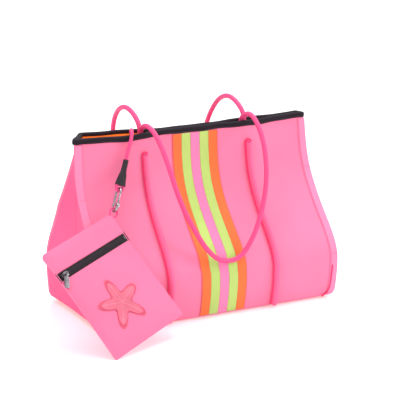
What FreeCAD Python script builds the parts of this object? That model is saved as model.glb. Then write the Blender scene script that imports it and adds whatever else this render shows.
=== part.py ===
"""Neoprene beach tote with rope handles, a lanyard hook and a zipped pouch.

Frame: millimetres, +Z up, X along the bag's width, -Y the front.
The origin is the centre of the flat base, on the surface that the bag stands on.
"""

import FreeCAD
import Part
import math
import os

V = FreeCAD.Vector
os.makedirs("parts", exist_ok=True)

# ---- driving dimensions of the bag ----
BAG_HEIGHT = 322.0
EDGE_X = {-1: 236.0, 1: 234.0}                       # where the side seams stand, left and right
RIM_EDGE_X = {(-1, -1): 235.0, (-1, 1): 225.0,       # and at the rim, by (side, hand): the side
              (1, -1): 204.0, (1, 1): 222.0}         # folds draw the back rim in
DRAW_IN_Z = 190.0           # the seams stand upright below this height
DRAW_IN_POWER = 1.2
SHELL = 5.0                 # neoprene wall
LINING = 1.0
LINING_FOOT_Z = 12.0
LINING_REACH = 0.965        # share of the panel's width that its lining covers
SKIN_GAP = 0.4              # room between two layers of cloth
BELLY_Z = 75.0              # height at which the panels bulge furthest
BELLY_DEPTH = 122.0         # half depth there
FLOOR_DEPTH = 110.0         # half depth where the panels meet the base
RIM_DEPTH = 9.0             # half depth at the rim where the mouth is closed
MOUTH_OPEN = 18.5           # how much deeper it is on the left, where the mouth hangs open
MOUTH_OPEN_X = -96.0        # the middle of the change
END_SHIFT = 13.5            # how far the left end of the mouth leans to the back
FLARE_POWER = 1.65          # how low on the panel the flare begins
PANEL_FOOT_Z = 3.0          # lower edge of the panels
GUSSET_DENT = 11.0          # how far the side folds inwards at mid height
BINDING_END = 11.6          # the front and back tapes stop this far inside the side seams

# ---- trims ----
BINDING_DROP = 8.5          # height of the black tape on the rim
BINDING = 1.3               # its thickness
HEM_WIDTH = 15.0
HEM = 1.0
TRIM_FOOT_Z = 6.0           # hems and stripes end here, just above the base seam
STRIPE_WIDTH = 18.0
STRIPE = 1.2
STRIPE_COLOURS = ("orange_left", "lime_left", "pink_middle", "lime_right", "orange_right")
CHANNEL_X = 105.0           # centre of each sewn rope channel
CHANNEL_TOP_Z = 287.0
CHANNEL_FOOT_Z = 6.0
CHANNEL_HALF_WIDTH = 7.6
CHANNEL_HEIGHT = 10.8
CHANNEL_CLOTH = 0.9
ARCH_STEPS = 8
ROPE_R = 4.5
CHANNEL_ROPE_R = 4.0        # the rope is drawn tighter inside its channel

# ---- lanyard and hook ----
LANYARD_R = 3.25
SLEEVE_TOP = V(-149, -39, 284)
HOOK_FOOT = V(-184, -62, 202)
SLEEVE_LENGTH = 46.0
EYE_CENTRE = 50.0           # distance of the eye's centre below the sleeve's top
EYE_R = 6.2
EYE_ROPE_R = 2.8
HOOK_ROD_R = 2.1
HOOK_TOP_R = 7.0
HOOK_LENGTH = 41.0          # between the rod's centre line at top and bottom

# ---- pouch ----
POUCH_W = 168.0
POUCH_H = 212.0
POUCH_CORNER_R = 9.0
POUCH_CLOTH = 3.0
POUCH_HOLLOW = 2.4
POUCH_YAW = math.radians(11.0)
POUCH_LEAN = math.radians(37.6)
POUCH_ROLL = math.radians(16.4)
POUCH_TOP_RIGHT = V(-192.5, -69.0, 201.5)
LOOP_R = 7.6                # centre line of the cord loop on the pouch's corner
LOOP_FOOT = 2.6             # half the distance between its two ends
LOOP_ROD_R = 1.8
ZIP_FROM_TOP = 47.5         # centre of the zip below the pouch's top edge
ZIP_TAPE_W = 15.0
TOOTH_PITCH = 3.5

PANEL_STEPS_X = 24          # stretches along the rim between two sections of a panel
PANEL_STEPS_Z = 18
ACROSS = [2 * i / PANEL_STEPS_X - 1 for i in range(PANEL_STEPS_X + 1)]

# Rope routes, hand placed: up inside the panel, over the rim and down outside in one loop.
FRONT_HANDLE = [
    V(-105, -5.0, 290), V(-104.4, -4.6, 309), V(-105, -5.5, 331), V(-104, -30, 345),
    V(-100, -56, 331), V(-97, -78, 303), V(-92, -95, 270), V(-85, -106, 234),
    V(-73, -114, 197), V(-56, -120, 162), V(-35, -123.5, 127), V(-9, -124, 103),
    V(26, -124, 102), V(50, -123, 126), V(69, -120, 161), V(83, -114, 197),
    V(93, -106, 234), V(98, -95, 270), V(101, -78, 303), V(101, -56, 331),
    V(99, -31.9, 345), V(98, -3.6, 331), V(97.4, -2.0, 309), V(98, -2.4, 290)]
BACK_HANDLE = [
    V(-98, 3.5, 290), V(-97.4, 3.0, 310), V(-98, 4.5, 334), V(-98.5, 27, 351),
    V(-98, 62, 358), V(-97, 95, 346), V(-95, 122, 318), V(-91, 138, 283),
    V(-84, 146, 246), V(-72, 149, 210), V(-52, 148, 177), V(-20, 147, 155),
    V(22, 147, 154), V(54, 148, 176), V(76, 149, 210), V(90, 146, 246),
    V(99, 138, 283), V(103, 122, 318), V(105, 95, 346), V(106, 62, 358),
    V(106.5, 28.5, 351), V(107, 3.0, 334), V(106.4, 1.8, 310), V(107, 2.2, 290)]
HANDLE_ROOT_POINTS = 4      # the root ends halfway along the run up to this point
PATCH_WIDTH = 16.0
PATCH_DEPTH = 6.0
PATCH_DROP = 16.0
LANYARD = [
    V(-126, -12.2, 284), V(-126.4, -11.6, 302), V(-127, -12.0, 322), V(-129, -18.5, 336),
    V(-133, -31, 335), V(-138, -37.5, 319), V(-144, -37.6, 302), SLEEVE_TOP + V(-0.3, 0, 1.2)]

SIDES = (("front", -1), ("back", 1))
HANDS = (("left", -1), ("right", 1))

solids = {}


def keep(node, shape):
    solids[node] = shape


# ---- the bag's surface ----

def rim_depth(x):
    """Half depth of the mouth: snapped shut in the middle, open on the left, slack on the right."""
    left = MOUTH_OPEN / (1.0 + math.exp((x - MOUTH_OPEN_X) / 13.0))
    right = 7.0 * math.exp(-((x - 105.0) / 50.0) ** 2)
    corner = 4.0 * math.exp(-((x - 230.0) / 25.0) ** 2)
    return RIM_DEPTH + left + right + corner


def flare(z):
    """0 at the rim and 1 at the belly."""
    drop = min((BAG_HEIGHT - z) / (BAG_HEIGHT - BELLY_Z), 1.0)
    return 0.5 - 0.5 * math.cos(math.pi * drop ** FLARE_POWER)


def half_depth(x, z):
    """Distance of a panel's outer face from the bag's middle at width x and height z."""
    if z < BELLY_Z:
        under = (BELLY_Z - z) / BELLY_Z
        return BELLY_DEPTH - (BELLY_DEPTH - FLOOR_DEPTH) * under ** 2
    return rim_depth(x) + (BELLY_DEPTH - rim_depth(x)) * flare(z)


def middle(x, z):
    """The bag's middle: the left end of the mouth leans to the back."""
    return END_SHIFT * math.exp(-((x + 222.0) / 48.0) ** 2) * (1.0 - flare(z))


def edge_x(side, hand, z):
    """Distance of a side seam from the middle, which shrinks towards the rim."""
    rise = (z - DRAW_IN_Z) / (BAG_HEIGHT - BINDING_DROP - 1 - DRAW_IN_Z)
    share = min(max(rise, 0.0), 1.0) ** DRAW_IN_POWER
    return EDGE_X[hand] - (EDGE_X[hand] - RIM_EDGE_X[side, hand]) * share


def wall_slope(x, z):
    """How fast the half depth grows with height."""
    step = 0.5
    low = max(z - step, PANEL_FOOT_Z)
    high = min(z + step, BAG_HEIGHT)
    return (half_depth(x, high) - half_depth(x, low)) / (high - low)


def wall_point(side, x, z, out):
    """A point `out` millimetres outside the front (-1) or back (+1) panel's outer face."""
    slope = wall_slope(x, z)
    length = math.hypot(1.0, slope)
    return V(x, middle(x, z) + side * (half_depth(x, z) + out / length), z - out * slope / length)


def level_point(side, x, z, out):
    """The same, kept at height z."""
    return V(x, middle(x, z) + side * (half_depth(x, z) + out * math.hypot(1.0, wall_slope(x, z))), z)


def levels(low, high):
    """Heights of a sheet's sections, evenly spaced."""
    return [low + (high - low) * i / PANEL_STEPS_Z for i in range(PANEL_STEPS_Z + 1)]


def spline(points):
    curve = Part.BSplineCurve()
    curve.interpolate(points)
    return curve.toShape()


def strip_wire(near, far):
    """A closed wire: one curve, a short edge, the other curve back, a short edge."""
    return Part.Wire([spline(near), Part.makeLine(near[-1], far[-1]),
                      spline(far[::-1]), Part.makeLine(far[0], near[0])])


def wall(side, columns, zs, inner, outer):
    """A sheet that follows a panel between two distances from its outer face.

    A column (share, x) stands at x beyond a share, -1 to 1, of the way to a side seam.
    """
    wires = []
    for z in zs:
        xs = [share * edge_x(side, -1 if share < 0 else 1, z) + x for share, x in columns]
        near = [level_point(side, x, z, inner) for x in xs]
        far = [level_point(side, x, z, outer) for x in xs]
        wires.append(strip_wire(near, far))
    return Part.makeLoft(wires, True, False)


def gusset_seams(hand, z):
    """Where the inner faces of the front and back panels meet a side wall, at height z."""
    ends = []
    for side in (-1, 1):
        x = hand * edge_x(side, hand, z)
        ends.append(level_point(side, x, z, -SHELL))
    return ends


def gusset_point(hand, across, z, out, margin):
    """A point of the side wall; across runs from -1 at the front seam to 1 at the back seam."""
    front, back = gusset_seams(hand, z)
    share = 0.5 + across * (0.5 - margin / (back.y - front.y))
    t = z / BAG_HEIGHT
    dent = GUSSET_DENT * (1 - (2 * share - 1) ** 2) * 4 * t * (1 - t)
    return front + (back - front) * share + V(hand * (out - dent), 0, 0)


def side_wall(hand, zs, inner, outer, margin):
    wires = []
    steps = [-1 + i / 4 for i in range(9)]
    for z in zs:
        near = [gusset_point(hand, a, z, inner, margin) for a in steps]
        far = [gusset_point(hand, a, z, outer, margin) for a in steps]
        wires.append(strip_wire(near, far))
    return Part.makeLoft(wires, True, False)


def polygon(points):
    return Part.makePolygon(points + [points[0]])


# ---- bag body ----

def panels():
    far = -SHELL - 2 * SKIN_GAP
    lining_zs = levels(LINING_FOOT_Z, BAG_HEIGHT - BINDING_DROP - 1)
    for name, side in SIDES:
        columns = [(share, 0) for share in ACROSS]
        keep(name + "_panel", wall(side, columns, levels(PANEL_FOOT_Z, BAG_HEIGHT), -SHELL, 0))
        columns = [(share * LINING_REACH, 0) for share in ACROSS]
        keep("lining_" + name, wall(side, columns, lining_zs, far - LINING, far))
    for name, hand in HANDS:
        keep(name + "_gusset", side_wall(hand, levels(SHELL + 1, BAG_HEIGHT - 0.5), -SHELL, 0, 3 * SKIN_GAP))
        margin = LINING + 5 * SKIN_GAP
        keep("lining_" + name, side_wall(hand, lining_zs, far - LINING, far, margin))


def base():
    half_x = EDGE_X[1] - 8
    half_y = FLOOR_DEPTH - SHELL - 2
    plate = Part.makeBox(2 * half_x, 2 * half_y, SHELL, V(-half_x, -half_y, 0))
    uprights = [e for e in plate.Edges if abs(e.tangentAt(e.FirstParameter).z) > 0.9]
    keep("base_panel", plate.makeFillet(14, uprights))
    half_x = EDGE_X[1] - SHELL - LINING - 10
    half_y = FLOOR_DEPTH - SHELL - LINING - 4
    board = Part.makeBox(2 * half_x, 2 * half_y, 3, V(-half_x, -half_y, SHELL + 2 * SKIN_GAP))
    uprights = [e for e in board.Edges if abs(e.tangentAt(e.FirstParameter).z) > 0.9]
    keep("base_board", board.makeFillet(18, uprights))


def binding_section(place, inner, outer):
    """Inverted U over an edge; place(distance outwards, z) gives the point."""
    top = BAG_HEIGHT + SKIN_GAP
    foot = BAG_HEIGHT - BINDING_DROP
    corners = [(outer + BINDING, foot), (outer + BINDING, top + BINDING),
               (inner - BINDING, top + BINDING), (inner - BINDING, foot),
               (inner, foot), (inner, top), (outer, top), (outer, foot)]
    return polygon([place(out, z) for out, z in corners])


def bindings():
    inner = -SHELL - LINING - 2 * SKIN_GAP
    for name, side in SIDES:
        left = BINDING_END - edge_x(side, -1, BAG_HEIGHT)
        right = edge_x(side, 1, BAG_HEIGHT) - BINDING_END
        wires = []
        for share in ACROSS:
            x = (left + right) / 2 + share * (right - left) / 2
            y = middle(x, BAG_HEIGHT) + side * rim_depth(x)
            wires.append(binding_section(lambda out, z: V(x, y + side * out, z), inner, 2 * SKIN_GAP))
        keep("rim_binding_" + name, Part.makeLoft(wires, True, False))
    for name, hand in HANDS:
        front, back = gusset_seams(hand, BAG_HEIGHT)
        step = (back - front) * ((LINING + 3 * SKIN_GAP) / (back.y - front.y))
        wires = [binding_section(lambda out, z: V(spot.x + hand * out, spot.y, z), inner - SKIN_GAP, SKIN_GAP)
                 for spot in (front + step, back - step)]
        keep("rim_binding_" + name, Part.makeLoft(wires, True, False))


def hems():
    zs = levels(TRIM_FOOT_Z, BAG_HEIGHT - BINDING_DROP - 1)
    for name, side in SIDES:
        for hand, sign in HANDS:
            insets = [-sign * HEM_WIDTH * i / 2 for i in range(3)]
            columns = [(sign, x) for x in sorted(insets)]
            keep(f"{name}_{hand}_hem", wall(side, columns, zs, SKIN_GAP, SKIN_GAP + HEM))


def stripes():
    zs = levels(TRIM_FOOT_Z, BAG_HEIGHT - BINDING_DROP - 1)
    for name, side in SIDES:
        for i, colour in enumerate(STRIPE_COLOURS):
            left = (i - 2.5) * STRIPE_WIDTH + SKIN_GAP / 2
            right = left + STRIPE_WIDTH - SKIN_GAP
            columns = [(0, left), (0, (left + right) / 2), (0, right)]
            keep(f"{name}_stripe_{colour}", wall(side, columns, zs, SKIN_GAP, SKIN_GAP + STRIPE))


# ---- rope channels and the rope sewn inside them ----

def channel_zs():
    count = 16
    span = CHANNEL_TOP_Z - CHANNEL_FOOT_Z
    return [CHANNEL_FOOT_Z + span * i / (count - 1) for i in range(count)]


def arch(side, x, z, half_width, height):
    """Points, in one plane, of a half-round arch that stands on the panel."""
    points = []
    for i in range(ARCH_STEPS + 1):
        angle = math.pi * i / ARCH_STEPS
        dx = -half_width * math.cos(angle)
        lean = (half_depth(x + dx, z) - half_depth(x, z)) / math.hypot(1.0, wall_slope(x, z))
        rise = 2 * SKIN_GAP + lean + (height - 2 * SKIN_GAP) * math.sin(angle)
        points.append(wall_point(side, x, z, rise) + V(dx, 0, 0))
    return points


def channel(side, x):
    wires = []
    for z in channel_zs():
        outer = arch(side, x, z, CHANNEL_HALF_WIDTH, CHANNEL_HEIGHT)
        inner = arch(side, x, z, CHANNEL_HALF_WIDTH - CHANNEL_CLOTH, CHANNEL_HEIGHT - CHANNEL_CLOTH)
        wires.append(strip_wire(inner, outer))
    return Part.makeLoft(wires, True, False)


def channel_rope(side, x):
    centre_out = 2 * SKIN_GAP + CHANNEL_ROPE_R
    wires = []
    for z in channel_zs():
        centre = wall_point(side, x, z, centre_out)
        outwards = wall_point(side, x, z, centre_out + 1) - centre
        along = outwards.cross(V(1, 0, 0))
        wires.append(Part.Wire(Part.Circle(centre, along, CHANNEL_ROPE_R).toShape()))
    return Part.makeLoft(wires, True, False)


def channels():
    ropes = []
    for name, side in SIDES:
        for hand, sign in HANDS:
            keep(f"{name}_{hand}_rope_channel", channel(side, sign * CHANNEL_X))
            ropes.append(channel_rope(side, sign * CHANNEL_X))
    keep("channel_ropes", Part.makeCompound(ropes))


# ---- free ropes ----

def rope_path(points):
    """Straight runs joined by the largest tangent arcs that the runs allow."""
    edges = []
    radii = []
    start = points[0]
    for before, corner, after in zip(points, points[1:], points[2:]):
        into = (corner - before).normalize()
        away = (after - corner).normalize()
        turn = into.getAngle(away)
        trim = 0.45 * min((corner - before).Length, (after - corner).Length)
        radii.append(trim / math.tan(turn / 2))
        arc_start = corner - into * trim
        arc_end = corner + away * trim
        inwards = (away - into).normalize()
        sagitta = trim * math.tan(turn / 4)
        half_chord = (arc_end - arc_start).Length / 2
        middle = (arc_start + arc_end) * 0.5 - inwards * half_chord * math.tan(turn / 4)
        edges.append(Part.makeLine(start, arc_start))
        edges.append(Part.Arc(arc_start, middle, arc_end).toShape())
        start = arc_end
    edges.append(Part.makeLine(start, points[-1]))
    return Part.Wire(edges), radii


def tube(name, points, radius):
    path, radii = rope_path(points)
    heading = (points[1] - points[0]).normalize()
    section = Part.Wire(Part.Circle(points[0], heading, radius).toShape())
    solid = path.makePipeShell([section], True, False)
    swept = math.pi * radius ** 2 * path.Length
    print(f"{name}: length {path.Length:.0f}, smallest arc {min(radii):.0f}, "
          f"volume ratio {solid.Volume / swept:.3f}")
    return solid


def handle(name, route):
    cut = HANDLE_ROOT_POINTS
    left_joint = (route[cut - 2] + route[cut - 1]) * 0.5
    right_joint = (route[-cut] + route[-cut + 1]) * 0.5
    left = tube(name + " left root", route[:cut - 1] + [left_joint], ROPE_R)
    right = tube(name + " right root", [right_joint] + route[-cut + 1:], ROPE_R)
    keep(name + "_handle_roots", Part.makeCompound([left, right]))
    gap = (route[cut - 1] - left_joint).normalize() * 0.3
    end_gap = (route[-cut] - right_joint).normalize() * 0.3
    loop = [left_joint + gap] + route[cut - 1:len(route) - cut + 1] + [right_joint + end_gap]
    keep(name + "_handle_rope", tube(name + " handle", loop, ROPE_R))
    print(name, "hinge at", left_joint, right_joint)


def handle_patches():
    """Stitched patches inside the panels, each holding one end of a handle rope."""
    patches = []
    for end in (FRONT_HANDLE[0], FRONT_HANDLE[-1], BACK_HANDLE[0], BACK_HANDLE[-1]):
        block = Part.makeBox(PATCH_WIDTH, PATCH_DEPTH, PATCH_DROP,
                             V(end.x - PATCH_WIDTH / 2, end.y - PATCH_DEPTH / 2, end.z - PATCH_DROP - 0.4))
        patches.append(block.makeFillet(2, block.Edges))
    keep("handle_patches", Part.makeCompound(patches))


# ---- lanyard, sleeve, eye and snap hook ----

def frame_matrix(origin, x_axis, y_axis, z_axis):
    m = FreeCAD.Matrix()
    m.A11, m.A21, m.A31 = x_axis.x, x_axis.y, x_axis.z
    m.A12, m.A22, m.A32 = y_axis.x, y_axis.y, y_axis.z
    m.A13, m.A23, m.A33 = z_axis.x, z_axis.y, z_axis.z
    m.A14, m.A24, m.A34 = origin.x, origin.y, origin.z
    return m


def placed(shape, origin, x_axis, y_axis, z_axis):
    moved = shape.copy()
    moved.Placement = FreeCAD.Placement(frame_matrix(origin, x_axis, y_axis, z_axis))
    return moved


HANG = (HOOK_FOOT - SLEEVE_TOP).normalize()          # from the sleeve's top down to the hook's foot
EYE_WIDTH_AXIS = V(0, 1, 0).cross(HANG).normalize()  # the eye is spread sideways
HOOK_WIDTH_AXIS = HANG.cross(EYE_WIDTH_AXIS).normalize()


def hanging(shape):
    """Puts a piece drawn with +Z up, hanging from z = 0, onto the lanyard's line."""
    return placed(shape, SLEEVE_TOP, EYE_WIDTH_AXIS, HOOK_WIDTH_AXIS * -1, HANG * -1)


def oval(half_x, half_y, z):
    ellipse = Part.Ellipse(V(0, 0, z), half_x, half_y)
    return Part.Wire(ellipse.toShape())


def lanyard():
    keep("lanyard_rope", tube("lanyard", LANYARD, LANYARD_R))
    end = LANYARD[0]
    tab = Part.makeBox(18, 2 * LANYARD_R, 14, V(end.x - 9, end.y - LANYARD_R, end.z - 14.4))
    keep("lanyard_tab", tab.makeFillet(2, tab.Edges))
    sections = [oval(4.7, 4.6, 0), oval(4.9, 4.7, -14), oval(6.4, 5.0, -26), oval(10.4, 5.4, -SLEEVE_LENGTH)]
    keep("lanyard_sleeve", hanging(Part.makeLoft(sections, True, True)))
    leg_top = -SLEEVE_LENGTH - SKIN_GAP
    bend = -EYE_CENTRE
    path = Part.Wire([Part.makeLine(V(-EYE_R, 0, leg_top), V(-EYE_R, 0, bend)),
                      Part.Arc(V(-EYE_R, 0, bend), V(0, 0, bend - EYE_R), V(EYE_R, 0, bend)).toShape(),
                      Part.makeLine(V(EYE_R, 0, bend), V(EYE_R, 0, leg_top))])
    section = Part.Wire(Part.Circle(V(-EYE_R, 0, leg_top), V(0, 0, -1), EYE_ROPE_R).toShape())
    keep("lanyard_eye", hanging(path.makePipeShell([section], True, False)))


def rod(points_and_arcs, start, heading, radius):
    section = Part.Wire(Part.Circle(start, heading, radius).toShape())
    return Part.Wire(points_and_arcs).makePipeShell([section], True, False)


HOOK_TOP_Z = -EYE_CENTRE - EYE_R + EYE_ROPE_R + HOOK_ROD_R + 0.3
HOOK_BOTTOM_Z = HOOK_TOP_Z - HOOK_LENGTH
GATE_TOP_Z = HOOK_TOP_Z - HOOK_TOP_R - 4.0
GATE_FOOT_Z = HOOK_BOTTOM_Z + HOOK_TOP_R + 5.0


def hook():
    """A long rod loop, drawn in the local YZ plane, with its gate on the +Y side."""
    r = HOOK_TOP_R
    top = HOOK_TOP_Z - r
    foot = HOOK_BOTTOM_Z + r
    start = V(0, r, GATE_TOP_Z)
    edges = [Part.makeLine(start, V(0, r, top)),
             Part.Arc(V(0, r, top), V(0, 0, HOOK_TOP_Z), V(0, -r, top)).toShape(),
             Part.makeLine(V(0, -r, top), V(0, -r, foot)),
             Part.Arc(V(0, -r, foot), V(0, 0, HOOK_BOTTOM_Z), V(0, r, foot)).toShape(),
             Part.makeLine(V(0, r, foot), V(0, r, GATE_FOOT_Z - 3.0))]
    body = rod(edges, start, V(0, 0, 1), HOOK_ROD_R)
    body = body.fuse(Part.makeBox(5.8, 2 * HOOK_ROD_R, 1.6, V(-2.9, r - HOOK_ROD_R, GATE_FOOT_Z - 4.4)))
    for x in (-2.9, 1.7):
        body = body.fuse(Part.makeCylinder(3.2, 1.2, V(x, r, GATE_FOOT_Z), V(1, 0, 0)))
    body = body.cut(Part.makeCylinder(1.05, 8, V(-4, r, GATE_FOOT_Z), V(1, 0, 0))).removeSplitter()
    keep("hook_body", hanging(body))
    pin = Part.makeCylinder(1.0, 6.4, V(-3.2, r, GATE_FOOT_Z), V(1, 0, 0))
    keep("hook_pin", hanging(pin))
    bar_length = GATE_TOP_Z - GATE_FOOT_Z - 0.5
    bar = Part.makeCylinder(1.6, bar_length, V(0, r, GATE_FOOT_Z), V(0, 0, 1))
    eye = Part.makeCylinder(2.4, 3.0, V(-1.5, r, GATE_FOOT_Z), V(1, 0, 0))
    gate = bar.fuse(eye).cut(Part.makeCylinder(1.05, 4, V(-2, r, GATE_FOOT_Z), V(1, 0, 0)))
    keep("hook_gate", hanging(gate.removeSplitter()))


# ---- pouch ----

POUCH_N = V(math.sin(POUCH_YAW) * math.cos(POUCH_LEAN),
            -math.cos(POUCH_YAW) * math.cos(POUCH_LEAN), math.sin(POUCH_LEAN))
POUCH_LEVEL = V(math.cos(POUCH_YAW), math.sin(POUCH_YAW), 0)
POUCH_RISE = POUCH_N.cross(POUCH_LEVEL)
POUCH_X = (POUCH_LEVEL * math.cos(POUCH_ROLL) + POUCH_RISE * math.sin(POUCH_ROLL)).normalize()
POUCH_UP = (POUCH_RISE * math.cos(POUCH_ROLL) - POUCH_LEVEL * math.sin(POUCH_ROLL)).normalize()


def on_pouch(shape):
    """Puts a piece drawn flat onto the pouch: x to its right edge, y up to its top edge, z out."""
    return placed(shape, POUCH_TOP_RIGHT, POUCH_X, POUCH_UP, POUCH_N)


def pouch_plate(top, foot, near, far, round_top, round_foot):
    """A plate as wide as the pouch between two distances below the top edge."""
    plate = Part.makeBox(POUCH_W, top - foot, far - near, V(-POUCH_W, foot, near))
    corners = []
    for edge in plate.Edges:
        middle = edge.CenterOfMass
        upright = abs(edge.tangentAt(edge.FirstParameter).z) > 0.9
        if upright and ((middle.y > (top + foot) / 2 and round_top) or (middle.y < (top + foot) / 2 and round_foot)):
            corners.append(edge)
    return plate.makeFillet(POUCH_CORNER_R, corners) if corners else plate


def pouch():
    back = -POUCH_HOLLOW - 2 * POUCH_CLOTH
    zip_top = -ZIP_FROM_TOP + ZIP_TAPE_W / 2
    zip_foot = -ZIP_FROM_TOP - ZIP_TAPE_W / 2
    keep("pouch_back_panel", on_pouch(pouch_plate(0, -POUCH_H, back, back + POUCH_CLOTH, True, True)))
    keep("pouch_top_band", on_pouch(pouch_plate(0, zip_top, -POUCH_CLOTH, 0, True, False)))
    keep("pouch_front_panel", on_pouch(pouch_plate(zip_foot, -POUCH_H, -POUCH_CLOTH, 0, False, True)))
    rim = pouch_plate(0, -POUCH_H, back + POUCH_CLOTH + 0.05, -POUCH_CLOTH - 0.05, True, True)
    inside = Part.makeBox(POUCH_W - 12, POUCH_H - 12, 2 * POUCH_HOLLOW + 4, V(-POUCH_W + 6, -POUCH_H + 6, back))
    keep("pouch_seam_tape", on_pouch(rim.cut(inside)))
    upper = Part.makeBox(POUCH_W - 13, ZIP_TAPE_W / 2 - 1.2, 1.0, V(-POUCH_W + 6.5, -ZIP_FROM_TOP + 1.0, -2.6))
    lower = Part.makeBox(POUCH_W - 13, ZIP_TAPE_W / 2 - 1.2, 1.0,
                         V(-POUCH_W + 6.5, -ZIP_FROM_TOP - ZIP_TAPE_W / 2 + 0.2, -2.6))
    keep("zip_tapes", on_pouch(Part.makeCompound([upper, lower])))


ZIP_START_X = -POUCH_W + 15.5
ZIP_END_X = -10.0


def zipper():
    count = int((ZIP_END_X + POUCH_W - 10.0) / TOOTH_PITCH)
    teeth = []
    for i in range(count):
        x = -POUCH_W + 10.0 + i * TOOTH_PITCH
        shift = 0.9 if i % 2 else -0.9
        teeth.append(Part.makeBox(2.2, 3.6, 1.2, V(x, -ZIP_FROM_TOP + shift - 1.8, -1.5)))
    keep("zip_teeth", on_pouch(Part.makeCompound(teeth)))
    stops = [Part.makeBox(1.8, 6.0, 1.6, V(x, -ZIP_FROM_TOP - 3.0, -1.5)) for x in (-POUCH_W + 7.6, -8.4)]
    keep("zip_stops", on_pouch(Part.makeCompound(stops)))
    plate = Part.makeBox(11, 8.4, 1.4, V(ZIP_START_X - 5.5, -ZIP_FROM_TOP - 4.2, 0.0))
    plate = plate.makeFillet(2.0, [e for e in plate.Edges if abs(e.tangentAt(e.FirstParameter).z) > 0.9])
    bridge = Part.makeBox(7.0, 1.6, BRIDGE_TOP - 1.4, V(ZIP_START_X - 3.5, -ZIP_FROM_TOP - 0.8, 1.4))
    tunnel = Part.makeBox(4.2, 4.0, BRIDGE_TOP - 1.2 - 1.4, V(ZIP_START_X - 2.1, -ZIP_FROM_TOP - 2.0, 1.4))
    keep("zip_slider", on_pouch(plate.fuse(bridge.cut(tunnel)).removeSplitter()))


BRIDGE_TOP = 6.0
RING_Z = 5.0                         # centre of the pull's ring, inside the bridge
TAB_TURN = math.radians(-36.0)       # the tab's lean from the pouch's own downward direction


def zip_pull():
    """A ring through the slider's bridge and a ridged tab hanging from it."""
    ring = Part.makeTorus(2.6, 0.6, V(0, 0, RING_Z), V(1, 0, 0))
    neck = Part.makeBox(3.0, 3.6, 2.4, V(-1.5, -5.8, 1.8))
    tab = Part.makeBox(9.0, 21.0, 1.8, V(-4.5, -26.0, 1.8))
    tab = tab.makeFillet(1.6, [e for e in tab.Edges if abs(e.tangentAt(e.FirstParameter).z) > 0.9])
    pull = ring.fuse(neck).fuse(tab)
    for i in range(5):
        pull = pull.fuse(Part.makeBox(6.4, 1.0, 0.9, V(-3.2, -23.0 + i * 3.2, 3.2)))
    pull = pull.removeSplitter()
    turn = FreeCAD.Rotation(V(0, 0, 1), math.degrees(TAB_TURN))
    pull.Placement = FreeCAD.Placement(V(ZIP_START_X, -ZIP_FROM_TOP, 0), turn)
    keep("zip_pull", on_pouch_solid(pull))
    here = FreeCAD.Placement(frame_matrix(POUCH_TOP_RIGHT, POUCH_X, POUCH_UP, POUCH_N))
    pivot = here.multVec(V(ZIP_START_X, -ZIP_FROM_TOP, RING_Z))
    axis = here.Rotation.multVec(turn.multVec(V(1, 0, 0)))
    print("zip pull hinge", pivot, "axis", axis)


def on_pouch_solid(shape):
    """As on_pouch, for a shape that already has a placement of its own."""
    here = FreeCAD.Placement(frame_matrix(POUCH_TOP_RIGHT, POUCH_X, POUCH_UP, POUCH_N))
    moved = shape.copy()
    moved.Placement = here.multiply(shape.Placement)
    return moved


def star_points(arms, outer, inner):
    points = []
    for i in range(2 * arms):
        radius = outer if i % 2 == 0 else inner
        angle = math.pi * i / arms
        points.append(V(radius * math.sin(angle), radius * math.cos(angle), 0))
    return points


EMBLEM_X = -96.0
EMBLEM_Y = -138.0
EMBLEM_R = 52.0             # at the arms' tips before they are rounded
EMBLEM_WAIST_R = 25.0


def emblem():
    """A plain padded starfish sewn onto the pouch's front."""
    face = Part.Face(polygon(star_points(5, EMBLEM_R, EMBLEM_WAIST_R)))
    star = face.extrude(V(0, 0, 1.6))
    star = star.makeFillet(5.0, [e for e in star.Edges if abs(e.tangentAt(e.FirstParameter).z) > 0.9])
    star.translate(V(EMBLEM_X, EMBLEM_Y, 0.1))
    keep("pouch_emblem", on_pouch_solid(star))


def pouch_loop():
    """Cord loop from the pouch's top right corner round the hook's foot: a drop with a round head."""
    foot = SLEEVE_TOP + HANG * -HOOK_BOTTOM_Z
    inset = -POUCH_CORNER_R
    corner = POUCH_TOP_RIGHT + POUCH_X * inset + POUCH_UP * inset + POUCH_N * (-POUCH_CLOTH - POUCH_HOLLOW / 2)
    outwards = (foot - corner).normalize()
    start = corner + outwards * (POUCH_CORNER_R + 0.2)
    over_rod = (outwards - HOOK_WIDTH_AXIS * outwards.dot(HOOK_WIDTH_AXIS)).normalize()
    head = foot + over_rod * (HOOK_ROD_R + LOOP_ROD_R + 0.8)
    towards = (head - start).normalize()
    sideways = towards.cross(HOOK_WIDTH_AXIS).normalize()
    centre = head - towards * LOOP_R
    reach = (centre - start).Length
    leg = math.sqrt(LOOP_FOOT ** 2 + reach ** 2 - LOOP_R ** 2)
    spread = math.atan2(reach, LOOP_FOOT) - math.atan2(leg, LOOP_R)
    print("pouch loop: reach", reach, "leg", leg, "spread", math.degrees(spread))

    def around(angle):
        return centre + sideways * (LOOP_R * math.cos(angle)) + towards * (LOOP_R * math.sin(angle))
    right, left = around(-spread), around(math.pi + spread)
    edges = [Part.makeLine(start + sideways * LOOP_FOOT, right),
             Part.Arc(right, around(math.pi / 2), left).toShape(),
             Part.makeLine(left, start - sideways * LOOP_FOOT)]
    heading = right - (start + sideways * LOOP_FOOT)
    keep("pouch_loop", rod(edges, start + sideways * LOOP_FOOT, heading.normalize(), LOOP_ROD_R))
    print("pouch hinge", head)


SNAP_Z = 292.0
SNAP_GAP = 2.6              # clears the curve of the side wall


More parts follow.
